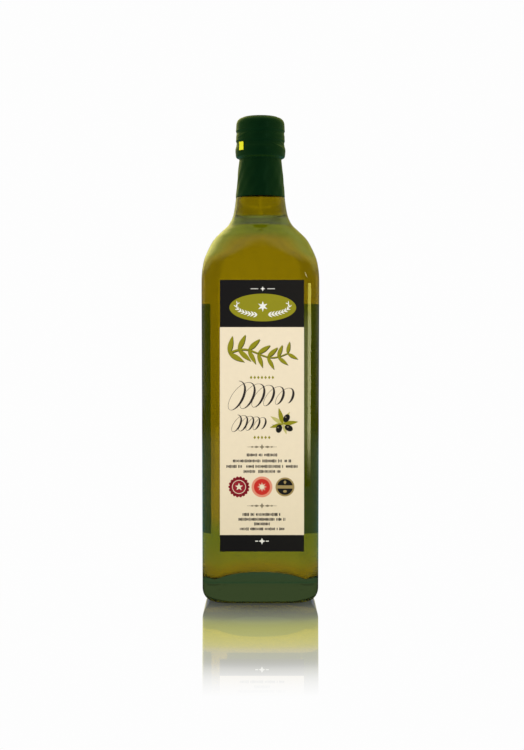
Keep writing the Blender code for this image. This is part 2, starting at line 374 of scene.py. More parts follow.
def moulded_green_glass(look):
    """Moulded soda-lime glass with a pale green tint: sharp, a little wavy, darker where thick."""
    material, tree, shader = new_material("moulded_green_glass", {"Roughness": 0.012, "IOR": 1.52})
    place = object_coords(tree)
    # The mould leaves shallow waves about 20 mm long
    bumped(tree, shader, noise(tree, place, 45.0, 1.0), 1.0, 0.00008)
    # Where the neck grows out of the shoulder the glass is thick; a pale green band of painted light
    # there also makes it a little less clear
    height = parts_of(tree, place)["Z"]
    painted_band = product(tree, spread(tree, height, *ROOT_PAINTED_BAND_FOOT), spread(tree, height, *ROOT_PAINTED_BAND_HEAD))
    tree.links.new(blend(tree, painted_band, WHITE, (0.82, 0.96, 0.26)), shader.inputs["Base Color"])
    clear = spread(tree, painted_band, 0.0, 1.0, 1.0, 0.91, smooth=False)
    tree.links.new(clear, shader.inputs["Transmission Weight"])
    absorbing(tree, look.glass_colour, look.glass_density)
    return material


def clear_oil(look):
    """Filtered olive oil: clear, golden, almost without blue."""
    material, tree, shader = new_material("clear_olive_oil", {
        "Roughness": 0.012,
        "IOR": 1.47,
        "Specular Tint": (0.0, 0.0, 0.0, 1.0),
        "Transmission Weight": 1.0,
    })
    # A faint cloud, tens of millimetres wide, keeps the colour from being one flat tone
    cloud = noise(tree, object_coords(tree), 22.0, 2.0)
    mottled(tree, shader, cloud, look.oil_colour, (0.06, 0.06))
    absorbing(tree, look.oil_depth_colour, look.oil_density)
    return material


def shrunk_green_film(look):
    """Heat-shrunk PVC film, dark green: satin, with a painted lighter rim at its edge and fine shrink
    marks.
    """
    material, tree, shader = new_material("shrunk_pvc_film_green", {
        "Roughness": 0.34,
        "IOR": 1.50,
        "Specular IOR Level": 0.20,
        "Specular Tint": linear("#7FC890"),
        "Sheen Weight": 0.14,
        "Sheen Roughness": 0.35,
        "Sheen Tint": linear("#6E8C3C"),
    })
    place = object_coords(tree)
    stretched = add_node(tree, "ShaderNodeMapping", {"Vector": place, "Scale": (1.0, 1.0, 0.18)})
    blotches = noise(tree, place, 120.0, 2.0)
    tone = mottled(tree, shader, blotches, look.film_colour, (0.20, 0.25))
    # The lighter green where the film turns away from view is a painted rim light
    facing = add_node(tree, "ShaderNodeLayerWeight", {"Blend": 0.22}).outputs["Facing"]
    edge = blend(tree, facing, tone, linear("#33581E"))
    tree.links.new(edge, shader.inputs["Base Color"])
    bumped(tree, shader, noise(tree, stretched.outputs["Vector"], 900.0, 3.0), 0.6, 0.00003)
    return material


def yellow_tape():
    """Printed yellow tear tape: bright, satin, with a faint weave of its backing."""
    material, tree, shader = new_material(
        "printed_tear_tape_yellow", {"Roughness": 0.38, "IOR": 1.48, "Specular IOR Level": 0.4}
    )
    weave = noise(tree, object_coords(tree), 1400.0, 2.0)
    tone = blend(tree, weave, linear("#E6E000"), linear("#FDFB1C"))
    tree.links.new(tone, shader.inputs["Base Color"])
    bumped(tree, shader, weave, 0.4, 0.00004)
    return material


def coated_paper(name, hex_colour, roughness=0.55, fibre=0.35, mottle=0.03, glow=None):
    """Wet-strength label paper or a printed ink on it: matt, with fibres about 0.4 mm apart."""
    principled = {"Roughness": roughness, "IOR": 1.45, "Specular IOR Level": 0.3}
    # A glow on paper, which is no lamp, is painted light
    if glow:
        principled |= {"Emission Color": (*glow, 1.0), "Emission Strength": 0.35}
    material, tree, shader = new_material(name, principled)
    place = object_coords(tree)
    mottled(tree, shader, noise(tree, place, 260.0, 2.0), linear(hex_colour), (mottle, mottle))
    bumped(tree, shader, noise(tree, place, 2400.0, 4.0), fibre, 0.00003)
    return material


INKS = {}


def ink(name):
    """Offset ink on label paper, kept so that each colour is one material."""
    if name not in INKS:
        INKS[name] = coated_paper(f"offset_ink_{name}", INK_COLOURS[name], 0.5, 0.2, 0.04)
    return INKS[name]


# Shapes


def new_object(name, data):
    """An object in the scene, at the origin."""
    obj = bpy.data.objects.new(name, data)
    bpy.context.scene.collection.objects.link(obj)
    return obj


def add_piece(name, mesh, material, replaced=()):
    """A finished piece: object at the origin, riding on the bottle's one body."""
    obj = new_object(name, mesh)
    mesh.materials.clear()
    mesh.materials.append(material)
    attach(obj, BODY)
    if replaced:
        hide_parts(*replaced)
    return obj


def mesh_from(name, points, faces, smooth=True, sharp_angle=None):
    mesh = bpy.data.meshes.new(name)
    mesh.from_pydata([tuple(map(float, p)) for p in points], [], faces)
    mesh.validate()
    if smooth:
        mesh.shade_smooth()
    if sharp_angle is not None:
        mesh.set_sharp_from_angle(angle=sharp_angle)
    return mesh


def body_half_width(z):
    """Half the width of the glass between heel and shoulder, where the faces lean out a little."""
    share = (z - HEEL_HEIGHT) / (BODY_TOP_Z - HEEL_HEIGHT)
    return BODY_HALF_FOOT + share * (BODY_HALF_TOP - BODY_HALF_FOOT)


def spoke_angles(flat_steps, corner_steps):
    """Directions from the axis to a ring's points, closer together at the four corners."""
    opens_at = math.radians(34)
    flat = [opens_at * i / flat_steps for i in range(flat_steps)]
    to_corner = math.pi / 4 - opens_at
    corner = [opens_at + to_corner * i / corner_steps for i in range(corner_steps + 1)]
    eighth = flat + corner
    quarter = eighth + [math.pi / 2 - angle for angle in reversed(eighth[1:-1])]
    return np.array([angle + math.pi / 2 * side for side in range(4) for angle in quarter])


def ring_points(ring, angles):
    """The points of a square section with round corners, one along each spoke."""
    height, half, corner = ring
    cosines, sines = np.cos(angles), np.sin(angles)
    along = np.maximum(abs(cosines), abs(sines))
    across = np.minimum(abs(cosines), abs(sines))
    centre = half - corner
    aside = centre * (along - across)
    round_part = centre * (along + across) + np.sqrt(np.maximum(corner**2 - aside**2, 0.0))
    distance = np.where(across * half <= centre * along, half / along, round_part)
    return np.column_stack((distance * cosines, distance * sines, np.full(len(angles), height)))


def smooth_spans(stations, steps):
    """Points on the curve through the stations, which starts and ends along its end spans."""
    first = [2 * a - b for a, b in zip(stations[0], stations[1])]
    last = [2 * a - b for a, b in zip(stations[-1], stations[-2])]
    points = [np.array(p) for p in (first, *stations, last)]
    found = []
    for p0, p1, p2, p3 in zip(points, points[1:], points[2:], points[3:]):
        for step in range(steps):
            t = step / steps
            found.append(0.5 * (
                2 * p1
                + (p2 - p0) * t
                + (2 * p0 - 5 * p1 + 4 * p2 - p3) * t**2
                + (3 * p1 - p0 - 3 * p2 + p3) * t**3
            ))
    found.append(points[-2])
    return [(p[0], p[1], min(p[2], p[1])) for p in found]


def punt_ring(share, foot_z, radius):
    """A round ring of the dome pushed up into the base, from its middle (0) to its foot (1)."""
    height = foot_z + PUNT_RISE * math.cos(math.pi / 2 * share) ** 2
    return (height, radius * share, radius * share)


def outside_rings(span_steps, arc_steps, punt_steps):
    """Rings of the glass outside, from the middle of the base up to the mouth."""
    rings = [punt_ring(i / punt_steps, 0.0, PUNT_RADIUS) for i in range(1, punt_steps + 1)]
    for i in range(arc_steps + 1):
        turn = math.pi / 2 * i / arc_steps
        inset = HEEL_INSET * (1 - math.sin(turn))
        corner = CORNER_RADIUS + (HEEL_CORNER_RADIUS - CORNER_RADIUS) * inset / HEEL_INSET
        rings.append((HEEL_HEIGHT * (1 - math.cos(turn)), BODY_HALF_FOOT - inset, corner))
    rings += body_rings(0.0, CORNER_RADIUS, CORNER_RADIUS)
    body_top = (BODY_TOP_Z, BODY_HALF_TOP, CORNER_RADIUS)
    rings += smooth_spans((body_top, *SHOULDER_OUTSIDE), span_steps)
    neck_foot = SKIRT_FOOT_RADIUS - FILM - GAP
    neck_head = SKIRT_HEAD_RADIUS - FILM - GAP
    upper = [
        (SKIRT_FOOT_Z - 0.0001, neck_foot),
        (SKIRT_HEAD_Z, neck_head),
        (CAP_FOOT_Z + FILM + GAP, neck_head),
        (CAP_FOOT_Z + 0.0025, FINISH_RADIUS),
        (MOUTH_Z - MOUTH_ROUND, FINISH_RADIUS),
        (MOUTH_Z, FINISH_RADIUS - MOUTH_ROUND),
    ]
    return rings + [(z, radius, radius) for z, radius in upper]


def body_rings(wall, foot_corner, top_corner, count=6):
    """Rings between heel and shoulder, their ends left out."""
    found = []
    for i in range(1, count):
        share = i / count
        z = HEEL_HEIGHT + (BODY_TOP_Z - HEEL_HEIGHT) * share
        corner = foot_corner + (top_corner - foot_corner) * share
        found.append((z, body_half_width(z) - wall, corner))
    return found


def inside_rings(clearance, span_steps, arc_steps, floor_steps):
    """Rings of the glass inside, or clear of it, from the middle of the base up to the neck."""
    wall = WALL + clearance
    foot_corner = INNER_FOOT_CORNER - clearance
    top_corner = INNER_TOP_CORNER - clearance
    flat_half = BODY_HALF_FOOT - wall - INNER_FILLET
    flat_corner = foot_corner - INNER_FILLET
    floor_z = FLOOR_EDGE_Z + clearance
    rings = []
    for i in range(1, floor_steps):
        share = i / floor_steps
        half = flat_half * share
        rings.append((floor_z, half, half + (flat_corner - half) * share**3))
    for i in range(arc_steps + 1):
        turn = math.pi / 2 * i / arc_steps
        reach = INNER_FILLET * math.sin(turn)
        height = floor_z + INNER_FILLET * (1 - math.cos(turn))
        rings.append((height, flat_half + reach, flat_corner + reach))
    rings += body_rings(wall, foot_corner, top_corner)
    body_top = (BODY_TOP_Z, BODY_HALF_TOP - wall, top_corner)
    shoulder = [(z, half - clearance, corner - clearance) for z, half, corner in SHOULDER_INSIDE]
    return rings + smooth_spans((body_top, *shoulder), span_steps)


def floor_lift(points):
    """How much higher the vaulted floor is at each point than its flat edge."""
    x, y, z = points.T
    half = BODY_HALF_FOOT - WALL
    fall = np.minimum(abs(x) / FLOOR_LOWEST, 1) ** FLOOR_ROUNDNESS
    rise = FLOOR_SIDE_SLOPE * np.maximum(abs(x) - FLOOR_LOWEST, 0)
    vault = FLOOR_RIDGE_Z - FLOOR_FALL * fall + rise - FLOOR_DIP * (1 - (y / half) ** 2)
    top = FLOOR_EDGE_Z + INNER_FILLET
    fade = np.clip((LIFT_END_Z - z) / (LIFT_END_Z - top), 0, 1)
    return (vault - FLOOR_EDGE_Z) * fade


def ring_faces(rings, steps, rising=True):
    """Faces of a closed body: a point, rings of so many points each, and a point."""
    last = 1 + rings * steps
    end = last - steps
    faces = []
    for i in range(steps):
        j = (i + 1) % steps
        faces.append((0, 1 + j, 1 + i))
        faces.append((end + i, end + j, last))
    for near in range(1, end, steps):
        far = near + steps
        for i in range(steps):
            j = (i + 1) % steps
            faces.append((near + i, near + j, far + j, far + i))
    return faces if rising else [(face[0], *face[:0:-1]) for face in faces]


def lofted(name, start_z, rings, end_z, inner):
    """A closed body through the rings, with a point on the axis at each end."""
    angles = spoke_angles(10, 14)
    points = [np.array([[0.0, 0.0, start_z]])]
    for i, ring in enumerate(rings):
        found = ring_points(ring, angles)
        if i in inner:
            found[:, 2] += floor_lift(found)
        points.append(found)
    points.append(np.array([[0.0, 0.0, end_z]]))
    faces = ring_faces(len(rings), len(angles))
    return mesh_from(name, np.concatenate(points), faces, sharp_angle=SHARP)


def face_place(side, middle_x, lift=0.0):
    """A function from label coordinates (across, height, off the paper) to the bottle's face."""
    def place(points):
        points = np.asarray(points, float)
        depth = body_half_width(points[:, 1]) + LABEL_FACE + lift + points[:, 2]
        across = points[:, 0] * (1 if side < 0 else -1) + middle_x
        return np.column_stack((across, side * depth, points[:, 1]))
    return place


def ply(level):
    """Foot and top of a ply of print, counted from the paper."""
    return level * PLY - BURY, (level + 1) * PLY


class Sheet:
    """Collects flat closed shapes in label coordinates, in metres."""

    def __init__(self):
        self.points = []
        self.faces = []

    def plate(self, outline, low, high):
        """A flat plate with that outline, given anticlockwise."""
        count = len(outline)
        base = len(self.points)
        self.points += [(x, y, low) for x, y in outline]
        self.points += [(x, y, high) for x, y in outline]
        self.faces.append(tuple(base + count + i for i in range(count)))
        self.faces.append(tuple(base + i for i in reversed(range(count))))
        for i in range(count):
            j = (i + 1) % count
            self.faces.append((base + i, base + j, base + count + j, base + count + i))

    def stroke(self, path, widths, low, high, closed=False):
        """A band along a path, with a width at each of its points."""
        path = [Vector(p) for p in path]
        count = len(path)
        base = len(self.points)
        for i, point in enumerate(path):
            before = path[i - 1] if closed or i else point
            after = path[(i + 1) % count] if closed or i < count - 1 else point
            along = (after - before).normalized()
            aside = Vector((-along.y, along.x)) * widths[i] / 2
            for off, height in ((-aside, low), (-aside, high), (aside, high), (aside, low)):
                spot = point + off
                self.points.append((spot.x, spot.y, height))
        spans = count if closed else count - 1
        for i in range(spans):
            here, there = base + 4 * i, base + 4 * ((i + 1) % count)
            for k in range(4):
                m = (k + 1) % 4
                self.faces.append((here + k, there + k, there + m, here + m))
        if not closed:
            end = base + 4 * (count - 1)
            self.faces.append((base, base + 1, base + 2, base + 3))
            self.faces.append((end + 3, end + 2, end + 1, end))

    def rule(self, start, end, width, level):
        """A straight line."""
        self.stroke([start, end], [width] * 2, *ply(level))

    def hoop(self, x, y, radius, width, level):
        """A round line."""
        self.stroke(ellipse(x, y, radius, radius, 40), [width] * 40, *ply(level), closed=True)

    def mesh(self, name, place):
        return mesh_from(name, place(self.points), self.faces, smooth=False)

    def piece(self, name, material, place, replaced=()):
        """The shapes as one piece, laid on the bottle."""
        return add_piece(name, self.mesh(name, place), material, replaced)


def rectangle(x, y, width, height):
    w, h = width / 2, height / 2
    return [(x - w, y - h), (x + w, y - h), (x + w, y + h), (x - w, y + h)]


def ellipse(x, y, radius_x, radius_y, count=64):
    found = []
    for i in range(count):
        turn = math.tau * i / count
        found.append((x + radius_x * math.cos(turn), y + radius_y * math.sin(turn)))
    return found


def star(x, y, radius, inner, points=5):
    found = []
    for i in range(points * 2):
        turn = math.pi / 2 + math.pi * i / points
        reach = radius if i % 2 == 0 else inner
        found.append((x + reach * math.cos(turn), y + reach * math.sin(turn)))
    return found


def drop(x, y, width, height, count=40):
    """A drop with its point upwards."""
    found = []
    for i in range(count):
        turn = math.tau * i / count - math.pi / 2
        share = (1 + math.sin(turn)) / 2
        found.append((
            x + width / 2 * math.cos(turn) * math.sin(math.pi * (1 - share) ** 0.62),
            y + height * (share - 0.5),
        ))
    return found


def spiral(x, y, start_radius, end_radius, start_turn, sweep, count=40):
    """A path that winds from one radius to another round a point."""
    found = []
    for i in range(count + 1):
        t = i / count
        turn = start_turn + sweep * t
        radius = start_radius + (end_radius - start_radius) * t
        found.append((x + radius * math.cos(turn), y + radius * math.sin(turn)))
    return found


def lozenge(x, y, half_width, half_height):
    return [(x - half_width, y), (x, y - half_height), (x + half_width, y), (x, y + half_height)]


# Geometry Nodes


def node_group(name, sockets):
    """A geometry node tree with these named inputs. It comes back with its group input."""
    tree = bpy.data.node_groups.new(name, "GeometryNodeTree")
    tree.interface.new_socket("Geometry", in_out="INPUT", socket_type="NodeSocketGeometry")
    for label, kind, default in sockets:
        socket = tree.interface.new_socket(label, in_out="INPUT", socket_type=kind)
        if default is not None:
            socket.default_value = default
    tree.interface.new_socket("Geometry", in_out="OUTPUT", socket_type="NodeSocketGeometry")
    return tree, add_node(tree, "NodeGroupInput").outputs


def end_group(tree, geometry, material):
    """Ends the tree in Realize Instances and Set Material."""
    real = add_node(tree, "GeometryNodeRealizeInstances", {"Geometry": geometry})
    dressed = add_node(
        tree,
        "GeometryNodeSetMaterial",
        {"Geometry": real.outputs["Geometry"], "Material": material},
    )
    add_node(tree, "NodeGroupOutput", {"Geometry": dressed.outputs["Geometry"]})


def grown(tree, values, mesh=None):
    """The plain mesh that the tree grows on a mesh, with these inputs."""
    obj = new_object("seedling", mesh or bpy.data.meshes.new("seedling"))
    modifier = obj.modifiers.new("Grow", "NODES")
    modifier.node_group = tree
    for item in tree.interface.items_tree:
        if item.item_type == "SOCKET" and item.in_out == "INPUT" and item.name in values:
            modifier[item.identifier] = values[item.name]
    depsgraph = bpy.context.evaluated_depsgraph_get()
    found = bpy.data.meshes.new_from_object(obj.evaluated_get(depsgraph), depsgraph=depsgraph)
    bpy.data.objects.remove(obj, do_unlink=True)
    return found


def row_of_ticks_tree():
    """A row of upright ticks of uneven size with gaps, like a line of small print seen from afar."""
    tree, given = node_group("row_of_ticks", (
        ("Length", "NodeSocketFloat", 0.02),
        ("Height", "NodeSocketFloat", 0.001),
        ("Ticks", "NodeSocketInt", 20),
        ("Gaps", "NodeSocketFloat", TICK_GAPS),
        ("Thickness", "NodeSocketFloat", PLY),
        ("Seed", "NodeSocketInt", 1),
        ("Material", "NodeSocketMaterial", None),
    ))

    def chance(low, high, seed_step):
        seed = calc(tree, "ADD", given["Seed"], seed_step)
        inputs = {2: low, 3: high, "Seed": seed}
        return add_node(tree, "FunctionNodeRandomValue", inputs, data_type="FLOAT").outputs[1]

    pitch = calc(tree, "DIVIDE", given["Length"], given["Ticks"])
    first = product(tree, calc(tree, "SUBTRACT", pitch, given["Length"]), 0.5)
    line = add_node(tree, "GeometryNodeMeshLine", {
        "Count": given["Ticks"],
        "Start Location": vector_of(tree, X=first),
        "Offset": vector_of(tree, X=pitch),
    }, mode="OFFSET")
    width = product(tree, chance(0.48, 0.90, 0), pitch)
    height = product(tree, chance(0.66, 1.0, 100), given["Height"])
    tick = add_node(tree, "GeometryNodeMeshCube", {"Size": (1.0, 1.0, 1.0)})
    ticks = add_node(tree, "GeometryNodeInstanceOnPoints", {
        "Points": line.outputs["Mesh"],
        "Selection": calc(tree, "GREATER_THAN", chance(0.0, 1.0, 200), given["Gaps"]),
        "Instance": tick.outputs["Mesh"],
        "Scale": vector_of(tree, X=width, Y=height, Z=given["Thickness"]),
    })
    end_group(tree, ticks.outputs["Instances"], given["Material"])
    return tree


def leafy_branch_tree():
    """Pairs of leaves along a stem, smaller towards its tip."""
    tree, given = node_group("leafy_branch", (
        ("Leaf", "NodeSocketObject", None),
        ("Pairs", "NodeSocketInt", 7),
        ("Leaf length", "NodeSocketFloat", 0.006),
        ("Opening", "NodeSocketFloat", 0.9),
        ("Unevenness", "NodeSocketFloat", 0.15),
        ("Seed", "NodeSocketInt", 3),
        ("Material", "NodeSocketMaterial", None),
    ))
    curve = add_node(tree, "GeometryNodeMeshToCurve", {"Mesh": given["Geometry"]})
    inputs = {"Curve": curve.outputs["Curve"], "Count": given["Pairs"]}
    points = add_node(tree, "GeometryNodeCurveToPoints", inputs, mode="COUNT").outputs
    heading = parts_of(tree, points["Tangent"])
    turn = calc(tree, "ARCTAN2", heading["Y"], heading["X"])
    leaf = add_node(tree, "GeometryNodeObjectInfo", {"Object": given["Leaf"]})
    order = add_node(tree, "GeometryNodeInputIndex").outputs[0]
    share = calc(tree, "DIVIDE", order, given["Pairs"])
    size = product(tree, given["Leaf length"], spread(tree, share, 0.0, 1.0, 1.0, 0.62, smooth=False))
    joined = add_node(tree, "GeometryNodeJoinGeometry")
    for side in (1.0, -1.0):
        inputs = {2: -1.0, 3: 1.0, "Seed": given["Seed"], "ID": order}
        wobble = add_node(tree, "FunctionNodeRandomValue", inputs, data_type="FLOAT").outputs[1]
        uneven = product(tree, wobble, given["Unevenness"])
        opened = calc(tree, "ADD", turn, product(tree, given["Opening"], side))
        leaves = add_node(tree, "GeometryNodeInstanceOnPoints", {
            "Points": points["Points"],
            "Instance": leaf.outputs["Geometry"],
            "Rotation": vector_of(tree, Z=calc(tree, "ADD", opened, uneven)),
            "Scale": vector_of(tree, X=size, Y=size, Z=1.0),
        })
        tree.links.new(leaves.outputs["Instances"], joined.inputs["Geometry"])
    end_group(tree, joined.outputs["Geometry"], given["Material"])
    return tree


def ring_of_dots_tree():
    """Flat dots evenly round a circle, such as the scallops of a seal."""
    tree, given = node_group("ring_of_dots", (
        ("Count", "NodeSocketInt", 20),
        ("Radius", "NodeSocketFloat", 0.006),
        ("Dot radius", "NodeSocketFloat", 0.0008),
        ("Thickness", "NodeSocketFloat", PLY),
        ("Material", "NodeSocketMaterial", None),
    ))
    inputs = {"Vertices": given["Count"], "Radius": given["Radius"]}
    circle = add_node(tree, "GeometryNodeMeshCircle", inputs)
    inputs = {"Vertices": 12, "Radius": given["Dot radius"], "Depth": given["Thickness"]}
    dot = add_node(tree, "GeometryNodeMeshCylinder", inputs, fill_type="NGON")
    inputs = {"Points": circle.outputs["Mesh"], "Instance": dot.outputs["Mesh"]}
    dots = add_node(tree, "GeometryNodeInstanceOnPoints", inputs)
    end_group(tree, dots.outputs["Instances"], given["Material"])
    return tree


def leaf_outline(width, count=14):
    """A slim pointed leaf of length one, its stalk at the origin."""
    upper = []
    for i in range(1, count):
        t = i / count
        upper.append((t, width / 2 * math.sin(math.pi * t**0.8) ** 0.9))
    lower = [(x, -y) for x, y in reversed(upper)]
    return [(0.0, 0.0), *lower[::-1], (1.0, 0.0), *upper[::-1]]


def laid(mesh, place, across=0.0, up=0.0):
    """The mesh moved in label coordinates, then laid on the bottle."""
    found = np.empty(len(mesh.vertices) * 3)
    mesh.vertices.foreach_get("co", found)
    found = found.reshape(-1, 3) + (across, up, 0.0)
    mesh.vertices.foreach_set("co", place(found).ravel())
    mesh.update()
    return mesh


def joined_mesh(name, meshes):
    """Several meshes as one."""
    work = bmesh.new()
    for mesh in meshes:
        work.from_mesh(mesh)
    for face in work.faces:
        face.material_index = 0
    found = bpy.data.meshes.new(name)
    work.to_mesh(found)
    work.free()
    return found


def small_print(name, lines, height, side, middle_x, seed):
    """Rows of ticks on a label: each line is its place across and up, and its length."""
    tree = row_of_ticks_tree()
    place = face_place(side, middle_x, (PLY - BURY) / 2)
    pieces = []
    for i, (across, up, length) in enumerate(lines):
        mesh = grown(tree, {
            "Length": length,
            "Height": height,
            "Ticks": round(length / TICK_PITCH),
            "Gaps": TICK_GAPS,
            "Thickness": PLY,
            "Seed": seed + i,
            "Material": ink("sepia"),
        })
        pieces.append(laid(mesh, place, across, up))
    add_piece(name, joined_mesh(name, pieces), ink("sepia"))


def grow_branch(tree, path, widths, depths, place, values):
    """Leaves on both sides of a path, and its stem, as two meshes on the bottle."""
    seedling = bpy.data.meshes.new("path")
    edges = [(i, i + 1) for i in range(len(path) - 1)]
    seedling.from_pydata([(x, y, depths[0] + PLY / 2) for x, y in path], edges, [])
    leaves = grown(tree, {"Unevenness": 0.08, **values}, seedling)
    stem = Sheet()
    stem.stroke(path, widths, *depths)
    return [laid(leaves, place), stem.mesh("stem", place)]


def pen_loops(left, right, y, height, shrink, turns, thick):
    """A penned row of slanted loops: hair-thin on the way up, thick on the way down."""
    path, widths = [], []
    hair = 0.00020
    count = round(turns * 28)
    for i in range(count + 1):
        t = i / count
        turn = math.tau * turns * t
        reach = height / 2 * (1 - shrink * t)
        up = reach * math.cos(turn)
        aside = 0.62 * reach * math.sin(turn) + 0.45 * up
        path.append((left + (right - left) * t + aside, y + up))
        widths.append(hair + (thick - hair) * max(math.sin(turn), 0) ** 1.4)
    return path, widths


def placed_outline(outline, x, y, scale, turn):
    """The outline scaled, turned and moved."""
    cosine, sine = scale * math.cos(turn), scale * math.sin(turn)
    return [(x + u * cosine - v * sine, y + u * sine + v * cosine) for u, v in outline]


# Settings


def colour_setting(name, description, default):
    return bpy.props.FloatVectorProperty(
        name=name, description=description, default=default, subtype="COLOR", min=0.0, max=1.0
    )


def number_setting(name, description, default, **more):
    return bpy.props.FloatProperty(name=name, description=description, default=default, **more)


class BottleLook(bpy.types.PropertyGroup):
    """Colours and finishes of the bottle."""

    glass_colour: colour_setting(
        "Glass colour", "What the glass lets through, linear", (0.277, 0.377, 0.14)
    )
    glass_density: number_setting("Glass density", "Absorption per metre of glass", 60.0, min=0.0)
    oil_colour: colour_setting(
        "Oil colour", "Tint of the oil where light enters and leaves it, linear", (0.38, 0.26, 0.002)
    )
    oil_depth_colour: colour_setting(
        "Oil depth colour", "What a deeper layer of oil lets through, linear", (0.72, 0.66, 0.1)
    )
    oil_density: number_setting("Oil density", "Absorption per metre of oil", 8.0, min=0.0)
    film_colour: colour_setting(
        "Capsule colour", "Colour of the shrunk film, linear", linear("#05210C")[:3]
    )


class StudioLook(bpy.types.PropertyGroup):
    """Camera, floor and light."""

    camera_height: number_setting(
        "Camera height", "Height of the lens above the floor", 0.1528, unit="LENGTH"
    )
    camera_distance: number_setting(
        "Camera distance", "From the lens to the bottle's axis", 0.990, unit="LENGTH"
    )
    lens: number_setting("Lens", "Focal length in millimetres", 72.0)
    backdrop: number_setting("Backdrop", "Brightness of the white backdrop", 0.985)
    mirror_reach: number_setting(
        "Mirror reach", "How far from the bottle's axis the floor still mirrors", 0.300, unit="LENGTH"
    )


# Operators


class BOTTLE_OT_glass(bpy.types.Operator):
    """Blow the glass bottle, one closed wall with its inside"""

    bl_idname = "bottle.glass"
    bl_label = "Glass bottle"

    def execute(self, context):
        mouth = (MOUTH_Z, BORE_RADIUS + MOUTH_ROUND, BORE_RADIUS + MOUTH_ROUND)
        lip = (MOUTH_Z - MOUTH_ROUND, BORE_RADIUS, BORE_RADIUS)
        inner = inside_rings(0.0, 8, 14, 16)
        rings = [*outside_rings(8, 14, 16), mouth, lip, *reversed(inner)]
        inside = range(len(rings) - len(inner), len(rings))
        floor_z = FLOOR_RIDGE_Z - FLOOR_DIP
        mesh = lofted("glass", PUNT_RISE, rings, floor_z, inside)
        material = moulded_green_glass(context.scene.bottle_look)
        add_piece("glass", mesh, material, ["glass_bottle"])
        return {"FINISHED"}


class BOTTLE_OT_oil(bpy.types.Operator):
    """Fill the bottle with oil up to its level in the neck"""

    bl_idname = "bottle.oil"
    bl_label = "Olive oil"

    def execute(self, context):
        radius = BORE_RADIUS + OIL_REACH
        rings = [*inside_rings(-OIL_REACH, 8, 14, 16), (OIL_LEVEL_Z, radius, radius)]
        bottom = FLOOR_RIDGE_Z - FLOOR_DIP - OIL_REACH
        mesh = lofted("oil", bottom, rings, OIL_LEVEL_Z, range(len(rings)))
        add_piece("oil", mesh, clear_oil(context.scene.bottle_look), ["olive_oil"])
        return {"FINISHED"}


def corner_cut(outline, passes):
    """The outline with its corners cut again and again, which rounds them."""
    for _ in range(passes):
        cut = [outline[0]]
        for (x0, z0), (x1, z1) in zip(outline, outline[1:]):
            cut.append((0.75 * x0 + 0.25 * x1, 0.75 * z0 + 0.25 * z1))
            cut.append((0.25 * x0 + 0.75 * x1, 0.25 * z0 + 0.75 * z1))
        cut.append(outline[-1])
        outline = cut
    return outline


def finer(outline, longest):
    """The outline with points added so that no span is longer than that."""
    found = [outline[0]]
    for (x0, z0), (x1, z1) in zip(outline, outline[1:]):
        parts = max(1, math.ceil(math.hypot(x1 - x0, z1 - z0) / longest))
        for i in range(1, parts + 1):
            found.append((x0 + (x1 - x0) * i / parts, z0 + (z1 - z0) * i / parts))
    return found


def capsule_outside():
    """Outer outline of the capsule, from the middle of its top down to the skirt's foot."""
    top = TOTAL_HEIGHT
    outline = [
        (0.0, top),
        (0.0022, top - 0.00005),
        (0.0034, top - 0.00045),
        (0.0050, top - 0.00055),
        (0.0108, top - 0.00050),
        (0.0117, top - 0.00020),
        (0.0122, top - 0.00085),
        (0.0126, top - 0.00135),
        (0.0134, top - 0.00095),
        (0.0144, top - 0.00165),
        (0.0154, top - 0.00280),
        (0.0159, top - 0.00440),
    ]
    for lip_z in LIP_HEIGHTS:
        outline += [
            (CAP_RADIUS, lip_z + 0.0030),
            (CAP_RADIUS + 0.00005, lip_z + 0.0010),
            (CAP_RADIUS + 0.00022, lip_z + 0.0001),
            (CAP_RADIUS - 0.0002, lip_z - 0.0007),
            (CAP_RADIUS - 0.0003, lip_z - 0.0018),
            (CAP_RADIUS - 0.0001, lip_z - 0.0028),
        ]
    return outline + [
        (CAP_RADIUS - 0.00005, BEAD_TOP_Z + 0.0004),
        (BEAD_RADIUS - 0.00005, BEAD_TOP_Z - 0.0008),
        (BEAD_RADIUS + 0.00015, BEAD_TOP_Z - 0.0022),
        (BEAD_RADIUS, BEAD_TOP_Z - 0.0042),
        (BEAD_RADIUS - 0.0002, CAP_FOOT_Z + 0.0010),
        (CAP_RADIUS - 0.0001, CAP_FOOT_Z),
        (SKIRT_HEAD_RADIUS + 0.0003, CAP_FOOT_Z - 0.0005),
        (SKIRT_HEAD_RADIUS - 0.0003, CAP_FOOT_Z - 0.0011),
        (SKIRT_HEAD_RADIUS - 0.0002, CAP_FOOT_Z - 0.0024),
        (SKIRT_HEAD_RADIUS + 0.0001, SKIRT_HEAD_Z - 0.0016),
        (SKIRT_FOOT_RADIUS - 0.00025, SKIRT_FOOT_Z + 0.0030),
        (SKIRT_FOOT_RADIUS, SKIRT_FOOT_Z + 0.0006),
        (SKIRT_FOOT_RADIUS - 0.0001, SKIRT_FOOT_Z),
    ]


def capsule_inside():
    """Inner outline of the capsule, from the skirt's foot up to the middle of its top."""
    inner_top = TOTAL_HEIGHT - 0.0016
    return [
        (SKIRT_FOOT_RADIUS - FILM, SKIRT_FOOT_Z),
        (SKIRT_HEAD_RADIUS - FILM, SKIRT_HEAD_Z),
        (SKIRT_HEAD_RADIUS - FILM, CAP_FOOT_Z + 0.0002),
        (FINISH_RADIUS + GAP, CAP_FOOT_Z + 0.0018),
        (FINISH_RADIUS + GAP, inner_top - MOUTH_ROUND),
        (FINISH_RADIUS - MOUTH_ROUND, inner_top),
        (0.0, inner_top),
    ]


# Folds of the film: start and end, each as degrees from the front and height, then rise
FOLDS = (
    ((-66, 0.3019), (-28, 0.3046), 0.00016),
    ((26, 0.2973), (66, 0.2944), 0.00020),
    ((48, 0.2998), (80, 0.2962), 0.00014),
    ((-52, 0.2872), (-40, 0.2815), 0.00014),
    ((140, 0.3012), (185, 0.3030), 0.00016),
    ((-150, 0.2958), (-108, 0.2990), 0.00016),
)


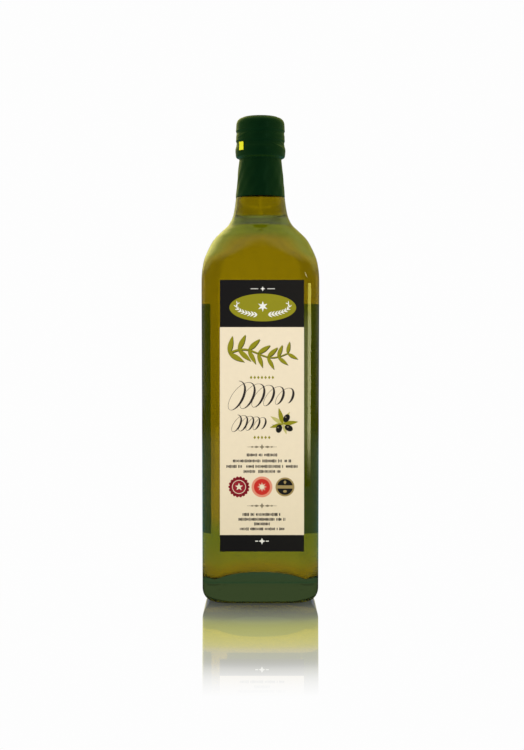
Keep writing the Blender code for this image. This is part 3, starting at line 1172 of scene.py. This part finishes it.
def folded(points):
    """The capsule's points with the film's folds and slack pressed into them."""
    x, y, z = points[:, 0], points[:, 1], points[:, 2]
    radius = np.hypot(x, y)
    turn = np.degrees(np.arctan2(x, -y))
    rise = np.zeros(len(points))
    for (turn_a, z_a), (turn_b, z_b), height in FOLDS:
        span = np.array([(turn_b - turn_a) * 0.00028, z_b - z_a])
        away = (turn - turn_a + 180) % 360 - 180
        offset = np.column_stack((away * 0.00028, z - z_a))
        share = np.clip(offset @ span / (span @ span), 0, 1)
        distance = np.hypot(*(offset - share[:, None] * span).T)
        fade = np.sin(np.pi * np.clip(share, 0.02, 0.98)) ** 0.5
        rise += height * fade * np.exp(-((distance / 0.00045) ** 2))
    radians = np.radians(turn)
    on_skirt = np.clip((SKIRT_HEAD_Z + 0.001 - z) / 0.012, 0, 1)
    slack = 0.00006 * np.sin(radians * 9 + z * 300) + 0.00005 * np.sin(radians * 14 - z * 500)
    rise += slack * (0.4 + on_skirt)
    on_side = np.clip((radius - 0.0125) / 0.0015, 0, 1)
    grow = 1 + rise * on_side / np.maximum(radius, 0.001)
    return np.column_stack((x * grow, y * grow, z))


class BOTTLE_OT_capsule(bpy.types.Operator):
    """Shrink the green film over the cap and the head of the neck"""

    bl_idname = "bottle.capsule"
    bl_label = "Capsule"

    def execute(self, context):
        outside = finer(corner_cut(capsule_outside(), 2), 0.00045)
        inside = capsule_inside()
        outline = outside[1:] + inside[:-1]
        turns = np.arange(CAPSULE_STEPS) * math.tau / CAPSULE_STEPS
        points = [np.array([[0.0, 0.0, outside[0][1]]])]
        for i, (x, z) in enumerate(outline):
            height = np.full(CAPSULE_STEPS, z)
            ring = np.column_stack((x * np.cos(turns), x * np.sin(turns), height))
            points.append(folded(ring) if i < len(outside) - 1 else ring)
        points.append(np.array([[0.0, 0.0, inside[-1][1]]]))
        faces = ring_faces(len(outline), CAPSULE_STEPS, rising=False)
        mesh = mesh_from("film", np.concatenate(points), faces, sharp_angle=SHARP)
        material = shrunk_green_film(context.scene.bottle_look)
        add_piece("shrunk_film", mesh, material, ["capsule"])
        return {"FINISHED"}


class BOTTLE_OT_tear_tab(bpy.types.Operator):
    """Lay the yellow end of the tear strip on the capsule"""

    bl_idname = "bottle.tear_tab"
    bl_label = "Tear tab"

    def execute(self, context):
        columns, levels = 14, 16
        inner = BEAD_RADIUS + TAB_LIFT
        points = []
        for lift in (0.0, TAB_THICKNESS):
            for row in range(levels + 1):
                v = row / levels
                for column in range(columns + 1):
                    u = column / columns
                    ragged = 0.00012 * math.sin(u * 17) * (1 if row in (0, levels) else 0)
                    curl = 0.00012 * (2 * v - 1) ** 4 + 0.00006 * math.sin(v * 9 + u * 4)
                    radius = inner + lift + curl
                    turn = -math.pi / 2 - TAB_FROM_FRONT + (u - 0.5) * TAB_WIDTH / inner
                    z = TAB_FOOT_Z + v * (TAB_HEAD_Z - TAB_FOOT_Z) + ragged
                    points.append((radius * math.cos(turn), radius * math.sin(turn), z))
        wide = columns + 1
        layer = wide * (levels + 1)
        faces = []
        for row in range(levels):
            for column in range(columns):
                a = row * wide + column
                b, c, d = a + 1, a + wide + 1, a + wide
                faces.append((a, d, c, b))
                faces.append((a + layer, b + layer, c + layer, d + layer))
        rim = list(range(wide))
        rim += [r * wide + columns for r in range(1, levels + 1)]
        rim += [levels * wide + c for c in range(columns - 1, -1, -1)]
        rim += [r * wide for r in range(levels - 1, 0, -1)]
        for a, b in zip(rim, rim[1:] + rim[:1]):
            faces.append((a, b, b + layer, a + layer))
        mesh = mesh_from("tab", points, faces, sharp_angle=math.radians(40))
        add_piece("tear_strip_end", mesh, yellow_tape(), ["tear_tab"])
        return {"FINISHED"}


def printed(name, colour, place, level, *outlines):
    """One piece of print: plates with these outlines on one ply."""
    sheet = Sheet()
    for outline in outlines:
        sheet.plate(outline, *ply(level))
    sheet.piece(name, ink(colour), place)


def bands(place, foot, size, head_band, foot_band, name):
    """Black bands across a label at its head and foot."""
    head = rectangle(0, foot + size[1] - head_band / 2, size[0], head_band)
    printed(name, "black", place, 0, head, rectangle(0, foot + foot_band / 2, size[0], foot_band))


def label_sheet(name, size, middle, side, material, depths, replaced=()):
    """A sheet of label paper, glued flat on a face."""
    levels = 12
    foot = middle[1] - size[1] / 2
    path = [(0.0, foot + size[1] * i / levels) for i in range(levels + 1)]
    sheet = Sheet()
    sheet.stroke(path, [size[0]] * len(path), *depths)
    sheet.piece(name, material, face_place(side, middle[0]), replaced)


class BOTTLE_OT_front_label(bpy.types.Operator):
    """Glue on the front label with its bands, branch, pen loops, sprig, rows and seals"""

    bl_idname = "bottle.front_label"
    bl_label = "Front label"

    def execute(self, context):
        place = face_place(-1, FRONT_MIDDLE[0])
        paper = coated_paper("label_paper_cream", "#F5E5C8")
        depths = (-LABEL_FACE - LABEL_REACH, 0.0)
        label_sheet("front_paper", FRONT_SIZE, FRONT_MIDDLE, -1, paper, depths, ["front_label"])
        foot = FRONT_MIDDLE[1] - FRONT_SIZE[1] / 2
        bands(place, foot, FRONT_SIZE, HEAD_BAND, FOOT_BAND, "front_bands")
        printed("front_oval", "olive_green", place, 1, ellipse(OVAL_X, OVAL_Y, *OVAL_RADII))
        tree = leafy_branch_tree()
        sheet = Sheet()
        sheet.plate(leaf_outline(0.28), -PLY / 2, PLY / 2)
        leaf = new_object("leaf", mesh_from("leaf", sheet.points, sheet.faces, smooth=False))
        self.wreath(place, tree, leaf)
        self.white_marks(place, foot)
        self.branch(place, tree, leaf)
        bpy.data.objects.remove(leaf, do_unlink=True)
        self.pen_rows(place)
        self.sprig(place)
        small_print("front_small_rows", FRONT_ROWS, 0.00200, -1, FRONT_MIDDLE[0], 20)
        self.dividers(place)
        self.seals(place)
        return {"FINISHED"}

    def wreath(self, place, tree, leaf):
        """A white wreath on the oval, of two branches that rise from its middle."""
        pieces = []
        for side, seed in ((-1, 4), (1, 5)):
            path = []
            for turn in np.radians(np.linspace(-78, 14, 24)):
                x = OVAL_X + side * WREATH_RADII[0] * math.cos(turn)
                path.append((x, WREATH_Y + WREATH_RADII[1] * math.sin(turn)))
            values = {"Leaf": leaf, "Pairs": 9, "Leaf length": 0.0031, "Opening": 0.62, "Seed": seed}
            values["Material"] = ink("opaque_white")
            pieces += grow_branch(tree, path, [0.0004] * len(path), ply(2), place, values)
        add_piece("front_wreath", joined_mesh("wreath", pieces), ink("opaque_white"))

    def branch(self, place, tree, leaf):
        """A large branch in one wave across the label, with a darker lower edge."""
        steps = 33
        wave = []
        for t in np.linspace(0, 1, steps):
            wave.append((BRANCH_START_X + BRANCH_LENGTH * t, BRANCH_Y + 0.0026 * math.sin(math.tau * t)))
        widths = np.linspace(0.0013, 0.0005, steps)
        for name, colour, drop_by, level in (
            ("front_branch_shade", "dark_olive", 0.0005, 0),
            ("front_branch", "olive_green", 0.0, 1),
        ):
            path = [(x + drop_by * 0.7, y - drop_by) for x, y in wave]
            values = {"Leaf": leaf, "Pairs": 7, "Leaf length": 0.0114, "Opening": 0.92, "Seed": 11}
            values["Material"] = ink(colour)
            low = level * PLY - BURY
            pieces = grow_branch(tree, path, widths, (low, low + PLY), place, values)
            add_piece(name, joined_mesh(name, pieces), ink(colour))

    def white_marks(self, place, foot):
        """Stars and strokes on the oval, over it and on the lower band."""
        marks = Sheet()
        marks.plate(star(OVAL_X, OVAL_Y + 0.0007, 0.0034, 0.0014, 6), *ply(2))
        for x, y, size, inner, aside, half, thick in (
            (OVAL_X, HEAD_MARKS_Y, 0.0016, 0.0006, 0.0053, 0.0024, 0.0004),
            (0.0, foot + FOOT_MARKS_RISE, 0.0021, 0.0009, 0.0034, 0.0009, 0.0006),
        ):
            marks.plate(star(x, y, size, inner, 4), *ply(1))
            for middle in (x - aside, x + aside):
                marks.rule((middle - half, y), (middle + half, y), thick, 1)
        marks.piece("front_white_marks", ink("opaque_white"), place)

    def pen_rows(self, place):
        """Dark penned loops, a long row over a short one."""
        loops = Sheet()
        for left, right, y, height, shrink, turns, thick in (
            (-0.0190, 0.0185, 0.1330, 0.0190, 0.52, 5.5, 0.00150),
            (-0.0180, 0.0010, 0.1155, 0.0110, 0.35, 4.5, 0.00115),
        ):
            loops.stroke(*pen_loops(left, right, y, height, shrink, turns, thick), *ply(0))
        loops.piece("front_pen_loops", ink("sepia"), place)

    def sprig(self, place):
        """A sprig of three ripe olives beside the short row."""
        for name, colour, level, leaves in (
            ("sprig_pale_leaves", "pale_leaf", 0, ((0.0092, 148), (0.0090, 60), (0.0070, -70))),
            ("sprig_leaves", "olive_green", 1, ((0.0105, 104), (0.0098, 8), (0.0086, 196))),
        ):
            printed(name, colour, place, level, *(
                placed_outline(leaf_outline(0.27), SPRIG_X, SPRIG_Y, length, math.radians(degrees))
                for length, degrees in leaves
            ))
        olives = Sheet()
        glints = []
        for x, y, turn in ((0.0156, 0.1188, 60), (0.0170, 0.1126, -28), (0.0108, 0.1122, 75)):
            fruit = placed_outline(ellipse(0, 0, 0.0027, 0.0019, 40), x, y, 1, math.radians(turn))
            olives.plate(fruit, *ply(2))
            glints.append(ellipse(x - 0.0006, y + 0.0007, 0.0006, 0.0004, 16))
        start, sweep = math.radians(-90), math.radians(-52)
        stalk = spiral(SPRIG_X, SPRIG_Y + 0.0048, 0.0048, 0.0085, start, sweep, 20)
        olives.stroke(stalk, np.linspace(0.0006, 0.0002, 21), *ply(0))
        olives.piece("sprig_olives", ink("black"), place)
        printed("sprig_glints", "grey_brown", place, 3, *glints)

    def dividers(self, place):
        """Lozenges over and under the loops, and two lines that taper from a star."""
        printed("front_green_lozenges", "olive_green", place, 0, *(
            lozenge((i - (count - 1) / 2) * 0.0023, y, 0.0008, 0.0011)
            for y, count in LOZENGE_ROWS
            for i in range(count)
        ))
        dividers = Sheet()
        for y in DIVIDER_HEIGHTS:
            for side in (-1, 1):
                dividers.stroke([(side * 0.0020, y), (side * 0.0095, y)], [0.0006, 0.00015], *ply(0))
                for x, size in ((0.0035, 0.0010), (0.0062, 0.0007)):
                    dividers.plate(ellipse(side * x, y, size, size * 0.7, 16), -BURY, 1.2 * PLY)
            dividers.plate(star(0.0, y, 0.0018, 0.0008, 4), *ply(0))
        dividers.piece("front_dividers", ink("grey_brown"), place)

    def seals(self, place):
        """Three round seals: a scalloped one, a ringed one and a dark one with a gold ring."""
        left, middle, right = SEAL_X
        ground = Sheet()
        ground.plate(ellipse(left, SEAL_Y, 0.0060, 0.0060), *ply(0))
        scallops = grown(ring_of_dots_tree(), {
            "Count": 18,
            "Radius": 0.0058,
            "Dot radius": 0.00095,
            "Thickness": PLY + BURY,
            "Material": ink("crimson"),
        })
        lifted = face_place(-1, FRONT_MIDDLE[0], (PLY - BURY) / 2)
        pieces = [ground.mesh("disc", place), laid(scallops, lifted, left, SEAL_Y)]
        add_piece("seal_crimson", joined_mesh("crimson_seal", pieces), ink("crimson"))
        for name, colour, x, radius, level in (
            ("seal_salmon", "salmon", middle, 0.0066, 0),
            ("seal_red", "red", middle, 0.0051, 1),
            ("seal_gold", "gold", right, 0.0060, 0),
            ("seal_black", "black", right, 0.0050, 1),
        ):
            printed(name, colour, place, level, ellipse(x, SEAL_Y, radius, radius))
        marks = Sheet()
        marks.plate(star(left, SEAL_Y, 0.0026, 0.0011), *ply(1))
        marks.hoop(left, SEAL_Y, 0.0042, 0.00035, 1)
        marks.plate(star(middle, SEAL_Y, 0.0030, 0.0012, 8), *ply(2))
        marks.piece("seal_cream_marks", ink("cream"), place)
        printed(
            "seal_gold_marks", "gold", place, 2,
            rectangle(right, SEAL_Y, 0.0112, 0.0020),
            drop(right, SEAL_Y + 0.0028, 0.0018, 0.0026),
            ellipse(right, SEAL_Y - 0.0028, 0.0012, 0.0008, 20),
        )


class BOTTLE_OT_back_label(bpy.types.Operator):
    """Glue on the back label with its plain rows and table"""

    bl_idname = "bottle.back_label"
    bl_label = "Back label"

    def execute(self, context):
        place = face_place(1, BACK_MIDDLE[0])
        paper = coated_paper("back_label_paper", "#EADBBB")
        depths = (BACK_OUTER_FOOT - LABEL_FACE, 0.0)
        label_sheet("back_paper", BACK_SIZE, BACK_MIDDLE, 1, paper, depths, ["back_label"])
        # The side that faces the oil is pale blue-green and glows: painted light, standing in for light
        # from behind through the paper
        inside = coated_paper("label_inside_painted_glow", "#A8F6D8", glow=(0.30, 0.62, 0.55))
        depths = (-LABEL_FACE - LABEL_REACH, BACK_INSIDE_HEAD - LABEL_FACE)
        label_sheet("back_paper_inside", BACK_SIZE, BACK_MIDDLE, 1, inside, depths)
        foot = BACK_MIDDLE[1] - BACK_SIZE[1] / 2
        bands(place, foot, BACK_SIZE, BACK_HEAD_BAND, BACK_FOOT_BAND, "back_bands")
        lozenges_y = foot + BACK_SIZE[1] - BACK_HEAD_BAND / 2
        halves = [(i, 0.0022 if i else 0.0032) for i in range(-3, 4)]
        printed("back_lozenges", "olive_green", place, 1, *(
            lozenge(i * 0.0052, lozenges_y, half * 0.6, half) for i, half in halves
        ))
        self.rules(place)
        small_print("back_small_rows", self.rows(), 0.0017, 1, BACK_MIDDLE[0], 60)
        return {"FINISHED"}

    def rules(self, place):
        """The lines of a table, a block of plain bars and a ring with a star in it."""
        rules = Sheet()
        half = TABLE_WIDTH / 2
        for y in np.linspace(TABLE_FOOT_Y, TABLE_HEAD_Y, TABLE_ROWS + 1):
            rules.rule((-half, y), (half, y), RULE_WIDTH, 0)
        for x in (-half, TABLE_COLUMN_X, half):
            rules.rule((x, TABLE_FOOT_Y), (x, TABLE_HEAD_Y), RULE_WIDTH, 0)
        bar_x = BARS_X
        for i in range(26):
            wide = (0.00035, 0.0007, 0.0005, 0.00035, 0.0009)[i * 7 % 5]
            rules.plate(rectangle(bar_x + wide / 2, BARS_Y, wide, 0.0130), *ply(0))
            bar_x += wide + (0.0005, 0.00035, 0.0007)[i * 5 % 3]
        rules.hoop(0.0165, BARS_Y, 0.0045, 0.0005, 0)
        rules.plate(star(0.0165, BARS_Y, 0.0026, 0.0011, 6), *ply(0))
        rules.piece("back_rules", ink("sepia"), place)

    def rows(self):
        """Rows of ticks over, in and under the table."""
        lines = [(0.0, 0.1715, 0.0260)]
        lines += [(0.0, 0.1665 - BACK_ROW_PITCH * i, 0.0430) for i in range(8)]
        step = (TABLE_HEAD_Y - TABLE_FOOT_Y) / TABLE_ROWS
        for i in range(TABLE_ROWS):
            y = TABLE_HEAD_Y - step * (i + 0.5)
            long = (0.0200, 0.0140, 0.0230, 0.0170)[i % 4]
            lines += [(long / 2 - 0.0200, y, long), (0.0148, y, 0.0080)]
        for i in range(8):
            long = (0.0430, 0.0410, 0.0430, 0.0250)[i % 4]
            lines.append((0.0, 0.0935 - BACK_ROW_PITCH * i, long))
        return lines


def painted_shade_share(tree, slant):
    """How much the backdrop's painted shade dims a direction, by its slant to the side."""
    return spread(tree, calc(tree, "ABSOLUTE", slant), 0.021, 0.029, 0.0, 0.25)


def curved(tree, value, stops):
    """The value taken through a smooth curve with these stops."""
    made = add_node(tree, "ShaderNodeFloatCurve", {"Value": value})
    curve = made.mapping.curves[0]
    curve.points[0].location = stops[0]
    curve.points[1].location = stops[-1]
    for stop in stops[1:-1]:
        curve.points.new(*stop)
    made.mapping.update()
    return made.outputs[0]


class BOTTLE_OT_studio(bpy.types.Operator):
    """Set up the pale floor, the white backdrop, the soft light and the camera"""

    bl_idname = "bottle.studio"
    bl_label = "Studio"

    def execute(self, context):
        look = context.scene.studio_look
        self.floor(look)
        self.backdrop(context.scene, look)
        self.lights()
        self.card()
        self.camera(context.scene, look)
        context.scene.view_settings.view_transform = "Standard"
        context.scene.cycles.transmission_bounces = 24
        context.scene.cycles.max_bounces = 32
        context.scene.cycles.glossy_bounces = 12
        context.scene.cycles.use_denoising = True
        return {"FINISHED"}

    def floor(self, look):
        """White acrylic: plain white right under the bottle, a mirror round it that fades out."""
        points = [(x, y, 0.0) for x, y in rectangle(0, 0, FLOOR_WIDTH, FLOOR_WIDTH)]
        mesh = mesh_from("floor", points, [(0, 1, 2, 3)], smooth=False)
        floor = new_object("floor", mesh)
        floor.location.z = -FLOOR_GAP
        material, tree = empty_material("white_acrylic_floor")
        spot = object_coords(tree)
        x, y = parts_of(tree, spot)[:2]
        length = add_node(tree, "ShaderNodeVectorMath", {0: spot}, operation="LENGTH")
        away = length.outputs["Value"]
        path = add_node(tree, "ShaderNodeLightPath").outputs
        through = path["Is Transmission Ray"]
        # Blurred reflections, such as those in the film and the glass, see the floor another way
        other = calc(tree, "ADD", path["Is Singular Ray"], path["Is Diffuse Ray"])
        blurred = calc(tree, "SUBTRACT", path["Is Reflection Ray"], other, use_clamp=True)
        plain = calc(tree, "SUBTRACT", 1.0, blurred)
        share = spread(tree, away, 0.0, look.mirror_reach, smooth=False)
        warm = product(tree, curved(tree, share, MIRROR_WARM), plain)
        blue = product(tree, curved(tree, share, MIRROR_BLUE), plain)
        mirrored = vector_of(tree, X=warm, Y=warm, Z=blue)
        rest = vector_calc(tree, "SUBTRACT", WHITE, mirrored)
        # Seen through the bottle, the floor close to it is dimmer and greener: a painted shadow of the
        # bottle
        near = product(tree, spread(tree, away, 0.60, 0.38), spread(tree, away, 0.0, 0.35), through)
        tint = blend(tree, near, WHITE, (0.56, 0.90, 1.0))
        # The backdrop's two bands of painted shade reach down over the far floor
        slant = calc(tree, "DIVIDE", x, calc(tree, "ADD", y, look.camera_distance))
        far = spread(tree, y, 0.60, 1.30, smooth=False)
        painted_shade = product(tree, painted_shade_share(tree, slant), far, through)
        tint = blend(tree, painted_shade, tint, BLACK)
        # The glass reflects a ring of the floor as a faint blue-green
        ring = product(tree, spread(tree, away, 2.60, 1.30), spread(tree, away, 0.08, 0.24))
        faint = blend(tree, ring, DIM, (0.06, 0.20, 0.25))
        level = blend(tree, blurred, tint, faint)
        lit = vector_calc(tree, "MULTIPLY", rest, level)
        image = vector_calc(tree, "MULTIPLY", mirrored, level)
        white = add_node(tree, "ShaderNodeEmission", {"Color": lit, "Strength": look.backdrop})
        mirror = add_node(tree, "ShaderNodeBsdfGlossy", {"Color": image, "Roughness": 0.0})
        both = add_node(tree, "ShaderNodeAddShader", {0: white.outputs[0], 1: mirror.outputs[0]})
        add_node(tree, "ShaderNodeOutputMaterial", {"Surface": both.outputs[0]})
        mesh.materials.append(material)

    def backdrop(self, scene, look):
        """White where the camera and the glass see it, dim where the film and glass reflect it."""
        world = bpy.data.worlds.new("white_studio")
        scene.world = world
        world.use_nodes = True
        world.cycles.sampling_method = "NONE"
        tree = world.node_tree
        tree.nodes.clear()
        path = add_node(tree, "ShaderNodeLightPath").outputs
        seen = path["Is Camera Ray"]
        for kind in ("Is Singular Ray", "Is Transmission Ray", "Is Diffuse Ray"):
            seen = calc(tree, "MAXIMUM", seen, path[kind])
        aside, away, up = parts_of(tree, add_node(tree, "ShaderNodeTexCoord").outputs["Generated"])
        glow = blend(tree, spread(tree, away, 0.10, 0.50), DIM, (0.13, 0.135, 0.16))
        glow = blend(tree, spread(tree, up, 0.70, 0.95), glow, (0.42, 0.46, 0.32))
        # A greener glow behind and above lights the sides of the neck's root
        green = product(tree, spread(tree, up, 0.28, 0.50), spread(tree, away, -0.10, 0.40))
        glow = blend(tree, green, glow, (0.66, 0.76, 0.26))
        # A brighter one straight behind, strongest on the left, lights the edges
        rim = product(tree, spread(tree, away, 0.55, 0.82), spread(tree, up, 0.04, 0.30))
        leftward = spread(tree, aside, 0.25, -0.25)
        rim_colour = blend(tree, leftward, (0.52, 0.48, 0.12), (1.75, 1.65, 0.55))
        glow = blend(tree, rim, glow, rim_colour)
        # Two bands of painted shade beside the backdrop's middle, seen only through glass and oil, dim
        # what shows through the bottle's sides
        ahead = calc(tree, "GREATER_THAN", away, 0.9)
        level_with = calc(tree, "COMPARE", up, -0.005, 0.065)
        through = path["Is Transmission Ray"]
        dimmed = product(tree, painted_shade_share(tree, aside), ahead, level_with, through)
        white = blend(tree, dimmed, (look.backdrop,) * 3, BLACK)
        shade = add_node(tree, "ShaderNodeBackground", {"Color": blend(tree, seen, glow, white)})
        add_node(tree, "ShaderNodeOutputWorld", {"Surface": shade.outputs[0]})

    def lights(self):
        """Soft boxes that only show as highlights."""
        for name, place, size, power, aim_z, is_glossy in (
            ("capsule_strip", (0.50, -0.80, 0.46), (0.14, 0.15), 0.25, 0.29, True),
            ("label_fill", (0.0, -0.40, 0.03), (0.30, 0.03), 0.10, 0.08, False),
        ):
            data = bpy.data.lights.new(name, "AREA")
            data.shape = "RECTANGLE"
            data.size, data.size_y = size
            data.energy = power
            light = new_object(name, data)
            light.location = place
            aim = Vector((0, 0, aim_z)) - Vector(place)
            light.rotation_euler = aim.to_track_quat("-Z", "Y").to_euler()
            light.visible_camera = False
            light.visible_transmission = False
            light.visible_diffuse = not is_glossy
            light.visible_glossy = is_glossy

    def card(self):
        """A tall glowing card to the right, seen only as a highlight, that fades at its foot."""
        points = []
        for z in (0.0, CARD_HEAD_Z):
            for i in range(CARD_SPANS + 1):
                turn = CARD_TURN + CARD_HALF_TURN * (2 * i / CARD_SPANS - 1)
                points.append((CARD_AWAY * math.sin(turn), -CARD_AWAY * math.cos(turn), z))
        row = CARD_SPANS + 1
        faces = [(i, i + 1, i + row + 1, i + row) for i in range(CARD_SPANS)]
        mesh = mesh_from("card", points, faces)
        card = new_object("card", mesh)
        material, tree = empty_material("glowing_card")
        place = parts_of(tree, object_coords(tree))
        # Its near edge is dimmer, and almost dark at its head, where its colour is warmer
        head_share = spread(tree, place["Z"], 0.190, 0.225, smooth=False)
        edge_level = spread(tree, head_share, 0.0, 1.0, 0.20, 0.03, smooth=False)
        edge, inner = (CARD_AWAY * math.sin(math.radians(turn)) for turn in (36, 41))
        bright = spread(tree, place["X"], edge, inner, edge_level, 1.0, smooth=False)
        colour = blend(tree, head_share, (1.0, 0.98, 0.50), (1.0, 0.92, 0.18))
        level = product(tree, spread(tree, place["Z"], 0.0, 0.075, 0.0, 7.3), bright)
        # Only rays as long as the way from the bottle see it. To others, such as most of those
        # from the floor, which would mirror it, it is transparent
        path = add_node(tree, "ShaderNodeLightPath").outputs
        first_bounce = calc(tree, "LESS_THAN", path["Ray Depth"], 1.5)
        from_bottle = calc(tree, "COMPARE", path["Ray Length"], 0.86, 0.02)
        shows = product(tree, first_bounce, from_bottle)
        glow = add_node(tree, "ShaderNodeEmission", {"Color": colour, "Strength": level})
        nothing = add_node(tree, "ShaderNodeBsdfTransparent")
        mixed = {0: shows, 1: nothing.outputs[0], 2: glow.outputs[0]}
        surface = add_node(tree, "ShaderNodeMixShader", mixed)
        add_node(tree, "ShaderNodeOutputMaterial", {"Surface": surface.outputs[0]})
        mesh.materials.append(material)
        card.visible_camera = False
        card.visible_diffuse = False
        card.visible_transmission = False
        card.visible_shadow = False

    def camera(self, scene, look):
        data = bpy.data.cameras.new("camera")
        data.lens = look.lens
        data.sensor_width = 36.0
        data.shift_x, data.shift_y = (pixels / IMAGE_HEIGHT for pixels in IMAGE_SHIFT)
        data.clip_start = 0.01
        data.clip_end = 50.0
        camera = new_object("camera", data)
        camera.location = (0.0, -look.camera_distance, look.camera_height)
        camera.rotation_euler = (math.pi / 2, 0.0, 0.0)
        scene.camera = camera


class VIEW3D_PT_bottle(bpy.types.Panel):
    """Lists the bottle's settings and pieces"""

    bl_label = "Olive oil bottle"
    bl_idname = "VIEW3D_PT_bottle"
    bl_space_type = "VIEW_3D"
    bl_region_type = "UI"
    bl_category = "Bottle"

    def draw(self, context):
        layout = self.layout
        for group in (context.scene.bottle_look, context.scene.studio_look):
            column = layout.column(align=True)
            for key in group.bl_rna.properties.keys():
                if key not in {"rna_type", "name"}:
                    column.prop(group, key)
        for step in STEPS:
            layout.operator(step.bl_idname)


STEPS = (
    BOTTLE_OT_glass,
    BOTTLE_OT_oil,
    BOTTLE_OT_capsule,
    BOTTLE_OT_tear_tab,
    BOTTLE_OT_front_label,
    BOTTLE_OT_back_label,
    BOTTLE_OT_studio,
)
CLASSES = (BottleLook, StudioLook, *STEPS, VIEW3D_PT_bottle)


def register():
    for cls in CLASSES:
        bpy.utils.register_class(cls)
    bpy.types.Scene.bottle_look = bpy.props.PointerProperty(type=BottleLook)
    bpy.types.Scene.studio_look = bpy.props.PointerProperty(type=StudioLook)


def unregister():
    del bpy.types.Scene.studio_look
    del bpy.types.Scene.bottle_look
    for cls in reversed(CLASSES):
        bpy.utils.unregister_class(cls)


def main():
    register()
    for step in STEPS:
        group, name = step.bl_idname.split(".")
        getattr(getattr(bpy.ops, group), name)()


if __name__ == "__main__":
    main()
